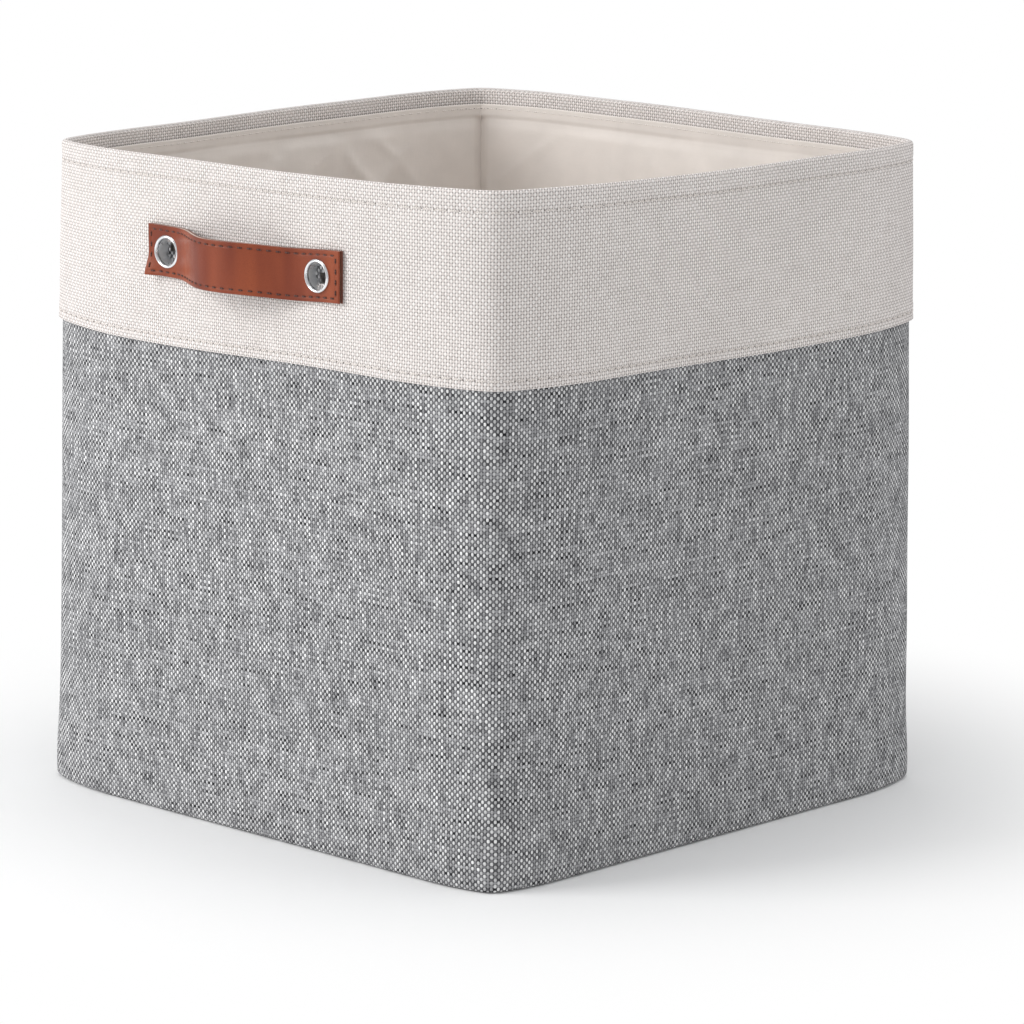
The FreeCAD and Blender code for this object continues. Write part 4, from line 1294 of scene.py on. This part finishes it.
# %% Strap layers
def strap_layer(name, back, thick, edge_round, groove, inset, materials):
    """A strip of the handle. back is its height above the strap's foot, and inset its set-back along
    the sides. The ends are set back further, where the leather closes over the core."""
    ends = inset * 8
    along = ends + edge_spaced(STRAP_LENGTH - 2 * ends, 1.0, 1.0 * MM)
    across = inset + edge_spaced(STRAP_WIDTH - 2 * inset, 1.0, 1.2 * MM) - STRAP_WIDTH / 2
    along, across = np.meshgrid(along, across)
    margin = np.minimum(np.minimum(along - ends, STRAP_LENGTH - ends - along),
                        STRAP_WIDTH / 2 - inset - np.abs(across))
    reach = np.clip(edge_round - margin, 0, edge_round)
    drop = edge_round - np.sqrt(np.clip(edge_round ** 2 - reach ** 2, 0, None))
    stitch_step = np.cos((along + across) / (5.0 * MM) * FULL_TURN)
    sunk = bell(margin, STITCH_INSET - inset, 0.7 * MM) * groove * (1 + 0.25 * stitch_step)
    swell = soft_noise(along, across + 1, 16 * MM, 9 * MM, 81) * 0.09 * MM
    upper = on_strap(along, across, back + thick - drop - sunk + swell * (edge_round > 0))
    lower = on_strap(along, across, np.full_like(along, back) + np.minimum(drop, thick * 0.3))
    holes = np.interp([-EYELET_X, EYELET_X], strap_x, strap_walk)
    from_holes = [np.hypot(face_middles(along) - hole, face_middles(across)) for hole in holes]
    clear = np.minimum(*from_holes) > STRAP_HOLE
    return slab(name, upper, lower, np.stack([along, across], axis=-1), materials, clear=clear)


def strap_stitching(name, lift):
    """A row of stitches round the strap, a little in from its edge."""
    left, right = STITCH_INSET, STRAP_LENGTH - STITCH_INSET
    up = STRAP_WIDTH / 2 - STITCH_INSET
    corners = np.array([(left, -up), (right, -up), (right, up), (left, up), (left, -up)])
    middles = []
    ways = []
    for first, second in zip(corners[:-1], corners[1:]):
        length = np.hypot(*(second - first))
        count = round(length / (4.9 * MM))
        share = (np.arange(count) + 0.5) / count
        middles.append(first + (second - first) * share[:, None])
        ways.append(np.repeat(((second - first) / length)[None], count, axis=0))
    middles, ways = np.concatenate(middles), np.concatenate(ways)
    lifts = np.full(len(middles), lift)
    step = 0.5 * MM
    centre = on_strap(middles[:, 0], middles[:, 1], lifts)
    ahead = on_strap(*(middles + ways * step).T, lifts)
    behind = on_strap(*(middles - ways * step).T, lifts)
    above = on_strap(middles[:, 0], middles[:, 1], lifts + step)
    directions = (ahead - behind) / np.linalg.norm(ahead - behind, axis=1)[:, None]
    normals = (above - centre) / np.linalg.norm(above - centre, axis=1)[:, None]
    return stitches(name, centre, directions, normals, 2.9 * MM, 0.42 * MM, [BROWN_THREAD, NEEDLE_HOLE_SHADE],
                    "brown_thread", lift=0.3, pit=0.0)


# %% [markdown]
# ## Eyelets
# An eyelet is a short tube pressed from sheet: a rolled flange on the leather, a barrel through
# strap, canvas and board, and a curl on the inside that grips a washer. It is turned like a pot:
# one closed profile swept round the hole's axis.

# %% Eyelet shape
def lathe(profile, steps):
    """Sweep (radius, forward) points round the Y axis; forward points towards -Y."""
    profile = np.array(profile + profile[:1])
    turn = np.linspace(0, FULL_TURN, steps + 1)
    radius = profile[:, 0][:, None]
    forward = np.broadcast_to(-profile[:, 1][:, None], (len(profile), steps + 1))
    points = np.stack([radius * np.cos(turn), forward, radius * np.sin(turn)], axis=-1)
    cloth = np.stack(np.broadcast_arrays(turn[None, :] * 0.006, path_length(profile)[:, None]), axis=-1)
    return points, cloth


def eyelet(name, centre_x):
    """The front eyelet at a place along the strap, set square on the leather there."""
    low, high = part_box("eyelet_front_left")
    flange = (high.x - low.x) / 2
    face = -low.y
    end = -high.y
    bore = 6.4 * MM
    sheet = 0.5 * MM
    seat = face - 1.35 * MM
    roll = (flange - bore) / 2
    dome = [((bore + flange) / 2 + roll * math.cos(a), seat + 0.15 * MM + 1.2 * MM * math.sin(a))
            for a in np.radians(np.linspace(-8, 180, 21))]
    barrel = [(bore, seat - 0.4 * MM), (bore, seat - 1.2 * MM), (bore, end + 1.2 * MM),
              (bore + 0.1 * MM, end + 0.5 * MM)]
    curl = [(bore + 0.5 * MM + 0.5 * MM * math.cos(a), end + 0.45 * MM + 0.45 * MM * math.sin(a))
            for a in np.radians(np.linspace(200, 400, 8))]
    back = [(bore + sheet, end + 1.2 * MM), (bore + sheet, seat - 0.3 * MM),
            (bore + roll, seat - 0.25 * MM), (flange - 0.2 * MM, seat - 0.05 * MM)]
    points, cloth = lathe(dome + barrel + curl + back, 64)
    step = 0.5 * MM
    tilt = math.atan((strap_stand(centre_x + step) - strap_stand(centre_x - step)) / (2 * step))
    axis = Matrix.Rotation(tilt, 3, "Z")
    shifted = points - np.array([0, -seat, 0])
    place = [centre_x, -seat - strap_stand(centre_x), STRAP_Z + strap_sag(centre_x)]
    turned = shifted @ np.array(axis).T + np.array(place)
    mesh = grid_mesh(name, turned[:, ::-1], cloth[:, ::-1], around=True, looped=True)
    piece = link_mesh(name, mesh, [CHROME, BARREL_CHROME])
    rows = np.arange(len(mesh.polygons)) // (points.shape[1] - 1)
    inside = (rows >= len(dome)) & (rows < len(dome) + len(barrel))
    mesh.polygons.foreach_set("material_index", inside.astype(np.int32))
    return piece


# %% [markdown]
# Both handles are the same. The rear one is the front one turned half way round the bin, which
# also carries its eyelets to the other side.

# %% Front and rear handles
HALF_TURN = Matrix.Rotation(math.pi, 4, "Z")
CORE_BACK = 1.03 * MM
LEATHER_BACK_FACE = 1.78 * MM
STITCH_FACE = LEATHER_BACK_FACE + LEATHER_THICK - 0.2 * MM

for end_name in ("front", "rear"):
    parts = {
        "handle_{}_backing": strap_layer(f"{end_name}_strap_back", 0.0, 1.0 * MM, 0.3 * MM, 0.0, 0.0,
                                         [LEATHER_BACK]),
        "handle_{}_core": strap_layer(f"{end_name}_strap_core", CORE_BACK, 0.72 * MM, 0.0, 0.0,
                                      0.12 * MM, [STRAP_CORE]),
        "handle_{}_leather": strap_layer(f"{end_name}_strap_leather", LEATHER_BACK_FACE, LEATHER_THICK,
                                         0.5 * MM, 0.22 * MM, 0.0, [BROWN_LEATHER]),
        "handle_{}_stitching": strap_stitching(f"{end_name}_strap_stitching", STITCH_FACE),
        "eyelet_{}_left": eyelet(f"{end_name}_left_eyelet", -EYELET_X),
        "eyelet_{}_right": eyelet(f"{end_name}_right_eyelet", EYELET_X),
    }
    for node, piece in parts.items():
        if end_name == "rear":
            piece.data.transform(HALF_TURN)
        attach(piece, "bin")
        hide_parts(node.format(end_name))
print("handles made, strap", round(STRAP_LENGTH, 4), "m long")

# %% [markdown]
# ## Base board core and washers
# The base board's core and the washers are plain shapes that the CAD parts already hold exactly.
# They keep their CAD geometry and only get their finishes.

# %% Finishes for the CAD pieces
def paint(node, material):
    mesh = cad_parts[node].data
    mesh.materials.clear()
    mesh.materials.append(material)


paint("base_board_core", GREYBOARD)
for end_name in ("front", "rear"):
    for side_name in ("left", "right"):
        paint(f"eyelet_washer_{end_name}_{side_name}", CHROME)

# %% [markdown]
# ## Finish
# The last step compares the finished model's box with the CAD's box and hands the scene over.

made_low, made_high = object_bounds()
growth = (made_high - made_low) - (cad_high - cad_low)
print("box grew by", [round(float(side) / MM, 2) for side in growth], "mm")
